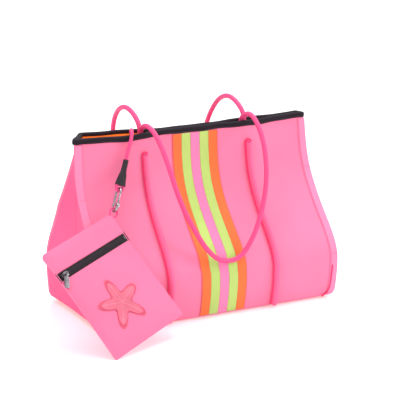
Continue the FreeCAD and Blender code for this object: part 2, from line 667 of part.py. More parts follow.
def fasteners():
    face = half_depth(0, 300) - SHELL - LINING - 2 * SKIN_GAP
    discs = [Part.makeCylinder(9, face - 0.5, V(0, side * 0.4, 298), V(0, side, 0)) for side in (-1, 1)]
    keep("magnetic_clasp", Part.makeCompound(discs))
    for name, hand in HANDS:
        front, back = gusset_seams(hand, SNAP_Z)
        outwards = V(back.y - front.y, front.x - back.x, 0).normalize() * hand
        spot = gusset_point(hand, 0, SNAP_Z, 0, 0) + outwards * SNAP_GAP
        snap = Part.makeCylinder(6.0, 1.6, spot, outwards)
        cap = Part.makeCylinder(3.6, 1.0, spot + outwards * 1.6, outwards)
        keep("side_snap_" + name, snap.fuse(cap).removeSplitter())


def print_joints():
    print("hook hinge", SLEEVE_TOP + HANG * (EYE_CENTRE + EYE_R), "axis", EYE_WIDTH_AXIS)
    gate = SLEEVE_TOP + HANG * -GATE_FOOT_Z + HOOK_WIDTH_AXIS * -HOOK_TOP_R
    print("gate hinge", gate, "axis", EYE_WIDTH_AXIS)
    print("pouch axes: x", POUCH_X, "up", POUCH_UP, "out", POUCH_N, "level", POUCH_LEVEL)


def build():
    panels()
    base()
    bindings()
    hems()
    stripes()
    channels()
    handle("front", FRONT_HANDLE)
    handle("back", BACK_HANDLE)
    handle_patches()
    lanyard()
    hook()
    pouch()
    zipper()
    zip_pull()
    emblem()
    pouch_loop()
    fasteners()
    print_joints()
    total = 0
    for node, shape in sorted(solids.items()):
        parts = shape.Solids
        ok = all(s.isValid() and s.Volume > 0 for s in parts) and len(parts) > 0
        total += 1
        if not ok:
            print("BAD", node, shape.ShapeType, len(parts), [s.Volume for s in parts])
        shape.exportStep("parts/" + node + ".step")
    print(total, "nodes")


build()
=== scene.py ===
"""Looks of the neoprene beach tote, its rope handles, its lanyard and its zipped pouch.

Metres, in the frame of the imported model: +Z up, X along the bag's width, -Y the front.
"""

import math

import bmesh
import bpy
import numpy as np
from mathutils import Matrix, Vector


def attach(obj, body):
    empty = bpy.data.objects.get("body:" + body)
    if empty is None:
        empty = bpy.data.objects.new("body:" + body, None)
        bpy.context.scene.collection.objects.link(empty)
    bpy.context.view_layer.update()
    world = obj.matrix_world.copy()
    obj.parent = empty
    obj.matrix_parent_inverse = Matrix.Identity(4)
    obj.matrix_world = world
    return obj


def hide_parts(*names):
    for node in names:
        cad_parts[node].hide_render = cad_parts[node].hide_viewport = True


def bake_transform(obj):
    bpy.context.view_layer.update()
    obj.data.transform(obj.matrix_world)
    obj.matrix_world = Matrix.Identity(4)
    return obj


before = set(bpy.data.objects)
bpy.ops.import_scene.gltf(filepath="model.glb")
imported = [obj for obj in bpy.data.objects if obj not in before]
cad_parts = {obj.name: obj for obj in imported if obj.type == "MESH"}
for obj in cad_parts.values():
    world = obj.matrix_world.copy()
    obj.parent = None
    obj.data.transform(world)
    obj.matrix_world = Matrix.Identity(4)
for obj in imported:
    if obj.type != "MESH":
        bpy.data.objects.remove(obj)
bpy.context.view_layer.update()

# ---- driving dimensions, the same as the frame's ----
BAG_HEIGHT = 0.322
EDGE_X = {-1: 0.236, 1: 0.234}
RIM_EDGE_X = {(-1, -1): 0.235, (-1, 1): 0.225, (1, -1): 0.204, (1, 1): 0.222}
DRAW_IN_Z = 0.190
DRAW_IN_POWER = 1.2
PANEL_HALF = 0.235          # a panel's half width as it is cut
PLAIN_X = 0.115             # the drawing in of the sides starts here
RIM_LIFT = 0.0045           # the right end of the rim stands up by this
SHELL = 0.005
LINING = 0.001
SKIN_GAP = 0.0004
BELLY_Z = 0.075
BELLY_DEPTH = 0.122
FLOOR_DEPTH = 0.110
RIM_DEPTH = 0.009
MOUTH_OPEN = 0.0185
MOUTH_OPEN_X = -0.096
END_SHIFT = 0.0135
FLARE_POWER = 1.65
PANEL_FOOT_Z = 0.003
GUSSET_DENT = 0.011
CORNER_R = 0.018            # the panels' rounded lower corners
BINDING_DROP = 0.0085
BINDING = 0.0013
RIM_STEP = 0.0015           # between the points drawn along the rim
HEM_WIDTH = 0.015
HEM = 0.001
TRIM_FOOT_Z = 0.006
TRIM_TOP_Z = BAG_HEIGHT - BINDING_DROP - 0.001
STRIPE_WIDTH = 0.018
STRIPE = 0.0012
CHANNEL_X = 0.105
CHANNEL_TOP_Z = 0.287
CHANNEL_HALF_WIDTH = 0.0076
CHANNEL_HEIGHT = 0.0108
CHANNEL_FLANGE = 0.0026     # the sewn edge beyond the rope
SHADE_LINE_R = 0.0013           # the thin dark cord beside each channel and in the corner folds: painted shade
ROPE_R = 0.0045
LANYARD_R = 0.00325
SLEEVE_TOP = Vector((-0.149, -0.039, 0.284))
HOOK_FOOT = Vector((-0.184, -0.062, 0.202))
HOOK_FOOT_DROP = 0.092      # from the sleeve's top to the middle of the hook's foot
HOOK_ROD_R = 0.0021
SLEEVE_LENGTH = 0.046
EYE_CENTRE = 0.050
EYE_R = 0.0062
EYE_ROPE_R = 0.0028
POUCH_W = 0.168
POUCH_H = 0.212
POUCH_CLOTH = 0.003
POUCH_BACK = -0.0084        # the pouch's rear face, its front face being 0
POUCH_TOP_RIGHT = Vector((-0.1925, -0.0690, 0.2015))
LOOP_R = 0.0076
LOOP_FOOT = 0.0026
LOOP_ROD_R = 0.0018
ZIP_FROM_TOP = 0.0475
ZIP_TAPE_W = 0.015
ZIP_TOP = -ZIP_FROM_TOP + ZIP_TAPE_W / 2
ZIP_FOOT = -ZIP_FROM_TOP - ZIP_TAPE_W / 2
FRONT_SWELL = 0.0038        # how far the pouch's front panel swells
EMBLEM_X = -0.096
EMBLEM_Y = -0.138

MM = 0.001

# Rope routes: up inside the panel, over the rim and down outside in one loop.
FRONT_HANDLE = [
    (-105, -5.0, 290), (-104.4, -4.6, 309), (-105, -5.5, 329), (-104, -29, 340),
    (-100, -55, 328), (-97, -78, 303), (-92, -95, 270), (-85, -106, 234),
    (-73, -114, 197), (-56, -120, 162), (-35, -123.5, 127), (-9, -124, 103),
    (26, -124, 102), (50, -123, 126), (69, -120, 161), (83, -114, 197),
    (93, -106, 234), (98, -95, 270), (101, -78, 303), (101, -55, 330),
    (99, -31.5, 342.5), (98, -3.6, 330), (97.4, -2.0, 309), (98, -2.4, 290)]
BACK_HANDLE = [
    (-102, 3.5, 290), (-101.4, 3.0, 310), (-102, 4.5, 333), (-102.5, 27, 349.5),
    (-102, 62, 356.5), (-101, 95, 345), (-98, 122, 318), (-93, 138, 283),
    (-84, 146, 246), (-72, 149, 210), (-52, 148, 177), (-20, 147, 155),
    (22, 147, 154), (54, 148, 176), (76, 149, 210), (90, 146, 246),
    (99, 138, 283), (103, 122, 318), (105, 95, 346), (106, 62, 358),
    (106.5, 28.5, 351), (107, 3.0, 334), (106.4, 1.8, 310), (107, 2.2, 290)]
LANYARD = [
    (-126, -12.2, 284), (-126.4, -11.6, 302), (-127, -12.0, 321), (-129, -18.5, 332.5),
    (-133, -31, 332), (-138, -37.5, 318), (-144, -37.6, 302), (-149.3, -39, 285.2)]

LAY = "lay"                 # the cloth's own coordinates in metres, across and along
RELIEF = "relief"           # 0 in a groove, 1 on a ridge; the ropes' colour reads it to paint shade in the grooves
WAVE = math.pi / 10         # a band texture's pitch at scale 1


# ---- materials ----

def linear(r, g, b):
    """A colour given in the usual 0-255 steps, as linear light."""
    def channel(c):
        c = c / 255
        return c / 12.92 if c <= 0.04045 else ((c + 0.055) / 1.055) ** 2.4
    return (channel(r), channel(g), channel(b), 1.0)


def shade(colour, factor):
    return (*[min(1.0, c * factor) for c in colour[:3]], 1.0)


class Surface:
    def __init__(self, name, on_cad=False):
        self.material = bpy.data.materials.new(name)
        self.material.use_nodes = True
        self.tree = self.material.node_tree
        self.object_space = self.add("ShaderNodeTexCoord", "Object")
        self.lay = self.object_space if on_cad else self.add("ShaderNodeUVMap", "UV", uv_map=LAY)

    def feed(self, node, inputs):
        """Gives a node's inputs their values, or links them to other nodes' outputs."""
        for key, value in inputs.items():
            if isinstance(value, bpy.types.NodeSocket):
                self.tree.links.new(value, node.inputs[key])
            else:
                node.inputs[key].default_value = value

    def add(self, kind, output, inputs=None, **settings):
        """The named output of a new node."""
        made = self.tree.nodes.new(kind)
        for key, value in settings.items():
            setattr(made, key, value)
        self.feed(made, inputs or {})
        return made.outputs[output]

    def noise(self, scale, detail=3.0, stretch=(1, 1, 1), space=None):
        space = space or self.object_space
        squeezed = self.add("ShaderNodeMapping", "Vector", {"Scale": stretch, "Vector": space})
        return self.add("ShaderNodeTexNoise", "Fac", {"Scale": scale, "Detail": detail, "Vector": squeezed})

    def bands(self, pitch, direction="X", distortion=0.0):
        inputs = {"Scale": WAVE / pitch, "Distortion": distortion, "Vector": self.lay}
        return self.add("ShaderNodeTexWave", "Fac", inputs, bands_direction=direction)

    def crossed(self, first, second):
        return self.add("ShaderNodeMath", "Value", {0: first, 1: second}, operation="MULTIPLY")

    def relief(self):
        return self.add("ShaderNodeAttribute", "Fac", attribute_name=RELIEF)

    def ramp(self, source, low, high, low_colour, high_colour):
        made = self.add("ShaderNodeValToRGB", "Color", {"Fac": source})
        for stop, place, colour in zip(made.node.color_ramp.elements, (low, high), (low_colour, high_colour)):
            stop.position = place
            stop.color = colour
        return made

    def mottled(self, source, colour, dark, light, low=0.3, high=0.7):
        """A colour that a pattern darkens and lightens."""
        return self.ramp(source, low, high, shade(colour, dark), shade(colour, light))

    def finish(self, base, tints=(), bumps=(), rough=None, **values):
        """Joins the colour with its tints, the bumps, the roughness range and the plain values."""
        for pattern, amount in tints:
            grey = self.ramp(pattern, 0.25, 0.75, (1 - amount,) * 3 + (1,), (1, 1, 1, 1))
            base = self.add("ShaderNodeMix", 2, {0: 1.0, 6: base, 7: grey}, data_type="RGBA",
                            blend_type="MULTIPLY")
        inputs = {key.replace("_", " "): value for key, value in values.items()}
        inputs["Base Color"] = base
        if rough:
            source, low, high = rough
            spread_out = {"To Min": low, "To Max": high, "Value": source}
            inputs["Roughness"] = self.add("ShaderNodeMapRange", "Result", spread_out)
        for pattern, depth, strength in bumps:
            relief = {"Distance": depth, "Strength": strength, "Height": pattern}
            if "Normal" in inputs:
                relief["Normal"] = inputs["Normal"]
            inputs["Normal"] = self.add("ShaderNodeBump", "Normal", relief)
        self.feed(self.tree.nodes["Principled BSDF"], inputs)
        return self.material


def neoprene(name, colour, wale=0.0009, on_cad=False):
    """Scuba knit over foam: fine wales, a soft nap and slow changes of tone."""
    s = Surface(name, on_cad)
    knit = s.crossed(s.bands(wale, "X"), s.bands(wale * 1.3, "Y", 1.0))
    return s.finish(s.mottled(s.noise(9.0, 2.0), colour, 0.94, 1.05),
                    tints=((s.noise(1400.0, 2.0), 0.06), (knit, 0.05)),
                    bumps=((knit, 0.00012, 0.5), (s.noise(260.0, 4.0), 0.00025, 0.35)),
                    Roughness=0.68, Specular_IOR_Level=0.25,
                    Sheen_Weight=0.25, Sheen_Roughness=0.45, Sheen_Tint=shade(colour, 1.3))


def webbing(name, colour):
    """Flat woven ribbon with lengthwise ribs and fine cross threads."""
    s = Surface(name)
    weft, ribs = s.bands(0.0007, "Y", 0.6), s.bands(0.0015, "X", 0.25)
    streaks = s.noise(90.0, 2.0, (8, 8, 0.25))
    return s.finish(s.mottled(s.noise(14.0, 2.0), colour, 0.95, 1.04),
                    tints=((ribs, 0.09), (weft, 0.07), (streaks, 0.06)),
                    bumps=((ribs, 0.00015, 0.6), (weft, 0.0001, 0.6)),
                    Roughness=0.62, Specular_IOR_Level=0.3, Sheen_Weight=0.2, Sheen_Roughness=0.4)


def grosgrain(name, colour):
    """Black ribbed tape: cross ribs with a woven edge."""
    s = Surface(name)
    ribs, fine = s.bands(0.0012, "X", 0.3), s.bands(0.0006, "Y", 0.5)
    return s.finish(s.mottled(s.noise(60.0, 3.0), colour, 0.75, 1.25),
                    tints=((ribs, 0.35), (fine, 0.2)),
                    bumps=((ribs, 0.0002, 0.7), (fine, 0.0001, 0.5)),
                    Roughness=0.8, Specular_IOR_Level=0.3,
                    Sheen_Weight=0.12, Sheen_Roughness=0.5, Sheen_Tint=linear(120, 100, 125))


def braid(name, colour, on_cad=False):
    """Polyester rope: the plait is in the mesh, the filaments are in the bump."""
    s = Surface(name, on_cad)
    # Colour darker in the plait's grooves and a little lighter on its ridges: painted shade and painted
    # highlight. On the carried-over rope a noise takes the grooves' place.
    groove = s.noise(300.0, 2.0) if on_cad else s.relief()
    filaments = s.noise(500.0, 2.0, (1.0, 0.2, 1.0), s.lay)
    return s.finish(s.mottled(groove, colour, 0.5, 1.12, 0.1, 0.8),
                    tints=((filaments, 0.12),), bumps=((filaments, 0.00015, 0.5),),
                    Roughness=0.5, Specular_IOR_Level=0.4,
                    Sheen_Weight=0.3, Sheen_Roughness=0.35, Sheen_Tint=shade(colour, 1.6))


def self_lit_jersey(name, colour, pitch, painted_glow):
    """Even weave; the cloth gives off a share of its own colour as light: painted light that brightens it in
    the bag's shade.
    """
    s = Surface(name)
    weave = s.crossed(s.bands(pitch, "X", 0.4), s.bands(pitch, "Y", 0.4))
    return s.finish(s.mottled(s.noise(12.0, 2.0), colour, 0.93, 1.05),
                    tints=((weave, 0.14),), bumps=((weave, 0.0002, 0.6),),
                    Emission_Color=colour, Emission_Strength=painted_glow, Roughness=0.75,
                    Specular_IOR_Level=0.25, Sheen_Weight=0.25, Sheen_Roughness=0.5)


def polished(name, colour, low, high, wear):
    """Plated metal with faint draw marks and a little tarnish."""
    s = Surface(name, on_cad=True)
    return s.finish(s.mottled(s.noise(120.0, 4.0), colour, wear, 1.0, 0.35, 0.7),
                    rough=(s.noise(400.0, 3.0), low, high),
                    bumps=((s.noise(1500.0, 2.0, (1, 1, 0.15)), 0.00003, 0.4),), Metallic=1.0)


def rubber(name, colour):
    """Shrunk tube with fine creases; its colour follows the creases, darker in their hollows and lighter on
    their ridges: painted shade and painted highlight.
    """
    s = Surface(name)
    creases = s.noise(160.0, 5.0, (1, 1, 0.5))
    return s.finish(s.mottled(creases, colour, 0.7, 1.35, 0.3, 0.75), rough=(s.noise(300.0, 3.0), 0.38, 0.62),
                    bumps=((creases, 0.0006, 0.4),), Specular_IOR_Level=0.45)


def embroidery(name, colour, edge_colour):
    """Satin stitches: threads run round the shape, with a stronger tone on the rolled edge."""
    s = Surface(name)
    threads, tufts = s.bands(0.0007, "X", 0.8), s.noise(420.0, 3.0, space=s.lay)
    return s.finish(s.ramp(s.relief(), 0.15, 0.85, shade(edge_colour, 0.85), colour),
                    tints=((threads, 0.16), (tufts, 0.14)),
                    bumps=((threads, 0.0003, 0.7), (tufts, 0.0003, 0.4)),
                    Roughness=0.45, Specular_IOR_Level=0.45, Sheen_Weight=0.4, Sheen_Roughness=0.35)


def thread(name, colour):
    """Twisted sewing thread or thin cord."""
    s = Surface(name)
    twist = s.noise(900.0, 2.0)
    return s.finish(s.mottled(twist, colour, 0.8, 1.1), bumps=((twist, 0.0001, 0.5),),
                    Roughness=0.5, Specular_IOR_Level=0.4, Sheen_Weight=0.3)


def moulded(name, colour):
    """Plastic with a fine grain."""
    s = Surface(name, on_cad=True)
    grain = s.noise(900.0, 3.0)
    return s.finish(s.mottled(grain, colour, 0.85, 1.1), rough=(grain, 0.45, 0.6),
                    bumps=((grain, 0.0001, 0.4),), Specular_IOR_Level=0.4)


PINK = linear(245, 123, 160)
PINKS = {
    "panel": neoprene("panel_neoprene", PINK),
    # The side walls take a darker copy of the panel pink: painted shade, as they face away from the lamps.
    "gusset": neoprene("gusset_neoprene", linear(245, 92, 140)),
    "hem": neoprene("hem_neoprene", linear(245, 132, 171), 0.0007),
    # The rope channels take a darker copy of the panel pink: painted shade on the tubes' flanks.
    "channel": neoprene("channel_neoprene", linear(244, 104, 150), 0.0008),
    "pouch": neoprene("pouch_neoprene", linear(244, 114, 153)),
    "on_cad": neoprene("patch_neoprene", PINK, on_cad=True),
}
# The lining glows a little: painted light that lifts it out of the bag's shade.
LINING_CLOTH = self_lit_jersey("lining_cloth", linear(250, 140, 48), pitch=0.0011, painted_glow=0.35)
STRIPE_CLOTHS = {
    "orange": webbing("webbing_orange", linear(247, 114, 54)),
    "lime": webbing("webbing_lime", linear(186, 212, 112)),
    "pink": webbing("webbing_pink", linear(248, 128, 178)),
}
BLACK_TAPE = grosgrain("binding_tape", linear(25, 11, 25))
ZIP_TAPE = grosgrain("zip_tape_weave", linear(32, 22, 30))
ROPE = braid("rope_braid", linear(246, 74, 138))
ROPE_ON_CAD = braid("rope_in_channel", linear(240, 80, 140), on_cad=True)
SLEEVE_BLACK = rubber("sleeve_shrink", linear(23, 17, 25))
BOARD_BLACK = moulded("board_plastic", linear(40, 38, 42))
CHROME = polished("hook_chrome", (0.50, 0.49, 0.52), 0.12, 0.25, 0.55)
GUNMETAL = polished("gunmetal", (0.23, 0.21, 0.23), 0.22, 0.42, 0.55)
SNAP_STEEL = polished("snap_steel", (0.20, 0.19, 0.21), 0.2, 0.35, 0.7)
COIL = moulded("zip_nylon", linear(40, 32, 40))
CORAL = embroidery("emblem_embroidery", linear(251, 128, 154), linear(232, 72, 112))
PINK_THREAD = thread("pink_thread", linear(228, 50, 112))
# A dark magenta cord that paints the shade along the channels' left flanks and in the corner folds.
SHADE_LINE = thread("painted_shade_line", linear(246, 30, 108))
BLACK_THREAD = thread("black_thread", linear(58, 48, 58))


# ---- mesh building ----

def placed(name, data):
    """A new object in the scene."""
    made = bpy.data.objects.new(name, data)
    bpy.context.scene.collection.objects.link(made)
    return made


def make_object(name, points, faces, corner_lay, material, relief=None):
    """A smooth mesh object with its cloth coordinates and, if given, its relief."""
    mesh = bpy.data.meshes.new(name)
    mesh.from_pydata(np.asarray(points, float).tolist(), [], [list(f) for f in faces])
    mesh.uv_layers.new(name=LAY).data.foreach_set("uv", np.asarray(corner_lay, np.float32).ravel())
    if relief is not None:
        attribute = mesh.attributes.new(RELIEF, "FLOAT", "POINT")
        attribute.data.foreach_set("value", np.asarray(relief, np.float32).ravel())
    tidy = bmesh.new()
    tidy.from_mesh(mesh)
    bmesh.ops.recalc_face_normals(tidy, faces=tidy.faces)
    tidy.to_mesh(mesh)
    tidy.free()
    mesh.polygons.foreach_set("use_smooth", [True] * len(mesh.polygons))
    mesh.materials.append(material)
    return placed(name, mesh)


def finished(obj, body, slot, *nodes):
    """Places a piece on its body and hides the CAD nodes that it stands for; slot is not used."""
    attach(obj, body)
    if nodes:
        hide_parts(*nodes)
    return obj


def unit(vectors):
    return vectors / np.linalg.norm(vectors, axis=-1, keepdims=True)


def grid(us, vs):
    return np.meshgrid(us, vs, indexing="ij")


def grid_quads(index):
    a, b = index[:-1, :-1], index[1:, :-1]
    c, d = index[1:, 1:], index[:-1, 1:]
    return np.stack([a, b, c, d], -1).reshape(-1, 4)


def corner_lays(us, vs):
    """The cloth coordinates at the four corners of each face of a grid."""
    lay = np.stack(grid(us, vs), -1).reshape(-1, 2)
    return lay[grid_quads(np.arange(len(lay)).reshape(len(us), len(vs)))]


def spread(low, high, count, edge):
    """Positions from low to high, evenly spaced, closer together inside the rounded edges."""
    turn = [edge * (1 - math.cos(math.radians(a))) for a in (0, 20, 40, 65)]
    inner = np.linspace(low + edge, high - edge, count)
    return np.array([low + t for t in turn] + list(inner) + [high - t for t in turn[::-1]])


def edge_share(values, edge):
    """1 inside a strip and 0 at its two ends, falling there as a quarter circle does."""
    gap = np.minimum(values - values[0], values[-1] - values)
    inside = np.clip(1 - gap / edge, 0, 1)
    return np.sqrt(np.clip(1 - inside ** 2, 0, 1))


def skin(name, place, us, vs, low, high, edge, material):
    """A closed sheet with rounded edges between two offsets of a surface.

    place(u, v, out) gives points; low and high are offsets, as numbers or as arrays on the grid.
    """
    u, v = grid(us, vs)
    share = np.minimum.outer(edge_share(us, edge), edge_share(vs, edge))
    centre = (np.asarray(low) + np.asarray(high)) / 2
    half = (np.asarray(high) - np.asarray(low)) / 2
    top = place(u, v, centre + half * share)
    bottom = place(u, v, centre - half * share)
    upper = np.arange(u.size).reshape(u.shape)
    lower = upper.copy()
    inside = lower[1:-1, 1:-1]
    inside[:] = u.size + np.arange(inside.size).reshape(inside.shape)
    points = np.concatenate([top.reshape(-1, 3), bottom[1:-1, 1:-1].reshape(-1, 3)])
    faces = np.concatenate([grid_quads(upper), grid_quads(lower)[:, ::-1]])
    lays = corner_lays(us, vs)
    return make_object(name, points, faces, np.concatenate([lays, lays[:, ::-1]]), material)


def capped(name, rings, us, vs, tips, material, relief=None):
    """A grid of points wrapped round its first index and closed by a tip at each end of the second."""
    around, length = rings.shape[:2]
    index = np.arange(around * length).reshape(around, length)
    wrapped = np.concatenate([index, index[:1]])
    faces = grid_quads(wrapped).tolist()
    for k, rim in enumerate((wrapped[:, 0].tolist(), wrapped[:, -1].tolist())):
        faces += [[a, b, around * length + k] for a, b in zip(rim, rim[1:])]
    lays = np.concatenate([corner_lays(us, vs).reshape(-1, 2), np.zeros((6 * around, 2))])
    return make_object(name, np.concatenate([rings.reshape(-1, 3), tips]), faces, lays, material, relief)


def path_frames(path):
    """Two turning-free side directions along a path."""
    tangents = unit(np.gradient(path, axis=0))
    side = np.array((0.0, 0.0, 1.0))
    if abs(tangents[0] @ side) > 0.9:
        side = np.array((1.0, 0.0, 0.0))
    sides = []
    for t in tangents:
        side = unit(side - t * (t @ side))
        sides.append(side)
    return np.array(sides), np.cross(tangents, sides)


def along(path):
    steps = np.linalg.norm(np.diff(path, axis=0), axis=1)
    return np.concatenate([[0], np.cumsum(steps)])


def at(places, travelled, values):
    """Rows of values read at places along a line."""
    return np.stack([np.interp(places, travelled, column) for column in values.T], -1)


def resampled(path, step):
    """The same line with evenly spaced points."""
    travelled = along(path)
    count = max(8, int(travelled[-1] / step))
    return at(np.linspace(0, travelled[-1], count), travelled, path)


def tube(name, path, radius, sides, material, relief=None):
    """A tube along a path; radius is a number or, like relief, a function of (angle, distance)."""
    across, out = path_frames(path)
    travelled = along(path)
    angle, distance = grid(np.linspace(0, 2 * math.pi, sides, endpoint=False), travelled)
    r = radius(angle, distance) if callable(radius) else np.full_like(angle, radius)
    ring = (np.cos(angle) * r)[..., None] * across + (np.sin(angle) * r)[..., None] * out
    girth = np.linspace(0, 2 * math.pi, sides + 1) * r.mean()
    tips = [path[0] + (path[0] - path[1]) * 0.6, path[-1] + (path[-1] - path[-2]) * 0.6]
    shown = None if relief is None else np.append(relief(angle, distance), (0.5, 0.5))
    return capped(name, path + ring, girth, travelled, tips, material, shown)


# A small bar's rings: the place along it and the share of its radius.
BAR_RINGS = np.array([(0.0, 0.15), (0.1, 0.7), (0.3, 1.0), (0.7, 1.0), (0.9, 0.7), (1.0, 0.15)])
BAR_SIDES = 8


def capsules(name, starts, ends, normals, radius, material, squash=0.6):
    """Many small rounded bars in one mesh, such as stitches or coil loops."""
    starts, ends, normals = (np.asarray(v, float)[:, None, None] for v in (starts, ends, normals))
    across = unit(np.cross(ends - starts, normals))
    up = np.cross(across, unit(ends - starts))
    place, share = BAR_RINGS.T[:, :, None, None]
    turn = np.linspace(0, 2 * math.pi, BAR_SIDES, endpoint=False)[:, None]
    ring = across * np.cos(turn) + up * np.sin(turn) * squash
    points = starts + (ends - starts) * place + ring * radius * share
    index = np.arange(points[..., 0].size).reshape(points.shape[:3])
    faces = []
    for bar in index:
        faces += grid_quads(np.concatenate([bar, bar[:, :1]], 1)).tolist()
        faces += [bar[0, ::-1].tolist(), bar[-1].tolist()]
    corners = sum(len(f) for f in faces)
    return make_object(name, points.reshape(-1, 3), faces, np.zeros((corners, 2)), material)


def sew(name, lines, pitch, share, radius, material, body, slot):
    """Stitches along lines of (points, normals); share is a stitch's part of its pitch."""
    rows = []
    for points, normals in lines:
        travelled = along(points)
        count = int(travelled[-1] / pitch)
        each = travelled[-1] / count
        middles = (np.arange(count) + 0.5) * each
        ends = [at(middles + sign * share * each / 2, travelled, points) for sign in (-1, 1)]
        rows.append([*ends, at(middles, travelled, normals)])
    finished(capsules(name, *map(np.concatenate, zip(*rows)), radius, material), body, slot)


# ---- the bag's surface ----

def rim_depth(x):
    left = MOUTH_OPEN / (1 + np.exp((x - MOUTH_OPEN_X) / 0.013))
    right = 0.007 * np.exp(-((x - 0.105) / 0.050) ** 2)
    corner = 0.004 * np.exp(-((x - 0.230) / 0.025) ** 2)
    return RIM_DEPTH + left + right + corner


def flare(z):
    """0 at the rim and 1 from the belly down."""
    drop = np.clip((BAG_HEIGHT - z) / (BAG_HEIGHT - BELLY_Z), 0, 1)
    return 0.5 - 0.5 * np.cos(math.pi * drop ** FLARE_POWER)


def half_depth(x, z):
    under = np.clip((BELLY_Z - z) / BELLY_Z, 0, 1)
    lower = BELLY_DEPTH - (BELLY_DEPTH - FLOOR_DEPTH) * under ** 2
    upper = rim_depth(x) + (BELLY_DEPTH - rim_depth(x)) * flare(z)
    return np.where(z < BELLY_Z, lower, upper)


def middle(x, z):
    """The bag's middle: the left end of the mouth leans to the back."""
    return END_SHIFT * np.exp(-((x + 0.222) / 0.048) ** 2) * (1 - flare(z))


def lift(x, z):
    """How far the slack right end of the rim stands up."""
    return RIM_LIFT * np.clip(x / RIM_EDGE_X[-1, 1], 0, 1) ** 2 * (z / BAG_HEIGHT) ** 4


def wall_slope(x, z):
    step = 0.0005
    low = np.maximum(z - step, PANEL_FOOT_Z)
    high = np.minimum(z + step, BAG_HEIGHT)
    return (half_depth(x, high) - half_depth(x, low)) / (high - low)


def seam_x(side, x, z):
    """Distance of the side seam on the hand that x is on, with the rounded lower corner."""
    low = np.where(x < 0, EDGE_X[-1], EDGE_X[1])
    top = np.where(x < 0, RIM_EDGE_X[side, -1], RIM_EDGE_X[side, 1])
    rise = (z - DRAW_IN_Z) / (TRIM_TOP_Z - DRAW_IN_Z)
    turn = np.clip(CORNER_R - z, 0, CORNER_R * 0.98)
    corner = CORNER_R - np.sqrt(CORNER_R ** 2 - turn ** 2)
    return low - (low - top) * np.clip(rise, 0, 1) ** DRAW_IN_POWER - corner


# Soft dents and swells of each panel: centre x and z, reach in x and z, lean, height.
FRONT_FOLDS = [
    (-0.187, 0.241, 0.026, 0.017, 0.5, -0.0030),
    (-0.005, 0.090, 0.070, 0.009, -0.22, -0.0022),
    (0.000, 0.112, 0.080, 0.016, -0.15, 0.0012),
    (-0.075, 0.118, 0.016, 0.030, -0.6, -0.0010),
    (0.165, 0.150, 0.020, 0.070, 0.2, 0.0014),
    (0.190, 0.060, 0.035, 0.025, 0.5, -0.0012),
    (-0.160, 0.120, 0.040, 0.040, 0.3, 0.0016),
    (0.060, 0.210, 0.018, 0.060, 0.1, -0.0008),
]
BACK_FOLDS = [
    (0.170, 0.230, 0.028, 0.020, -0.4, -0.0028),
    (-0.150, 0.200, 0.030, 0.050, 0.2, 0.0014),
    (0.010, 0.100, 0.090, 0.012, 0.15, -0.0018),
    (-0.060, 0.150, 0.020, 0.050, 0.4, 0.0010),
    (0.120, 0.110, 0.040, 0.030, -0.3, 0.0016),
]


def drape(side, x, z):
    """How far the cloth stands off its drawn shape: folds, pull at the rope ends, slow waves."""
    total = np.zeros_like(x * z)
    for cx, cz, rx, rz, lean, height in (FRONT_FOLDS if side < 0 else BACK_FOLDS):
        dx = x - cx
        dz = z - cz - lean * dx
        total += height * np.exp(-(dx / rx) ** 2 - (dz / rz) ** 2)
    for rope_x in (-CHANNEL_X, CHANNEL_X):
        pull = np.exp(-((x - rope_x) / 0.020) ** 2 - ((z - CHANNEL_TOP_Z - 0.006) / 0.012) ** 2)
        total -= 0.0012 * pull
    waves = np.sin(x * 31 + side * 0.7 + z * 9) * np.sin(z * 27 + 1.2 * side) * 0.0006
    free = np.clip(z / 0.05, 0, 1) * np.clip((BAG_HEIGHT - BINDING_DROP - z) / 0.03, 0, 1)
    return (total + waves) * free


def on_wall(side):
    """place(x, z, out) for cloth that lies on the front (-1) or back (+1) panel."""
    def place(x, z, out):
        share = np.clip((np.abs(x) - PLAIN_X) / (PANEL_HALF - PLAIN_X), 0, 1) ** 1.2
        x = x + np.sign(x) * (seam_x(side, x, z) - PANEL_HALF) * share
        out = out + drape(side, x, z)
        slope = wall_slope(x, z)
        length = np.hypot(1.0, slope)
        y = middle(x, z) + side * (half_depth(x, z) + out / length)
        return np.stack([x, y, z - out * slope / length + lift(x, z)], -1)
    return place


def gusset_seam(side, hand, z):
    """Where the inner face of a panel meets a side wall: x and y."""
    x = hand * seam_x(side, np.full_like(z, hand), z)
    return x, middle(x, z) + side * (half_depth(x, z) - SHELL * np.hypot(1.0, wall_slope(x, z)))


def on_gusset(hand, margin):
    """place(across, z, out) for the folded side walls; across runs from -1 to 1."""
    def place(across, z, out):
        front_x, front_y = gusset_seam(-1, hand, z)
        back_x, back_y = gusset_seam(1, hand, z)
        share = 0.5 + across * (0.5 - margin / (back_y - front_y))
        t = z / BAG_HEIGHT
        hollow = (1 - np.abs(2 * share - 1) ** 1.8) * 4 * t * (1 - t)
        crease = 0.0016 * np.exp(-(across / 0.07) ** 2) * np.clip((z - 0.02) / 0.1, 0, 1)
        swell = 0.0012 * np.sin(z * 38 + 2 * across) * (1 - across ** 2)
        dent = GUSSET_DENT * hollow + (crease + swell) * np.clip((BAG_HEIGHT - z) / 0.03, 0, 1)
        x = front_x + (back_x - front_x) * share + hand * (out - dent)
        y = front_y + (back_y - front_y) * share
        return np.stack([x, y, z + lift(x, z)], -1)
    return place


# ---- the bag's cloth ----

SIDES = (("front", -1), ("back", 1))
HANDS = (("left", -1), ("right", 1))


def build_panels():
    xs = spread(-PANEL_HALF, PANEL_HALF, 150, SHELL / 2)
    zs = spread(PANEL_FOOT_Z, BAG_HEIGHT, 110, SHELL / 2)
    for name, side in SIDES:
        cloth = skin(name + "_panel_cloth", on_wall(side), xs, zs, -SHELL, 0.0, SHELL / 2, PINKS["panel"])
        finished(cloth, "bag", "pink_neoprene", name + "_panel")


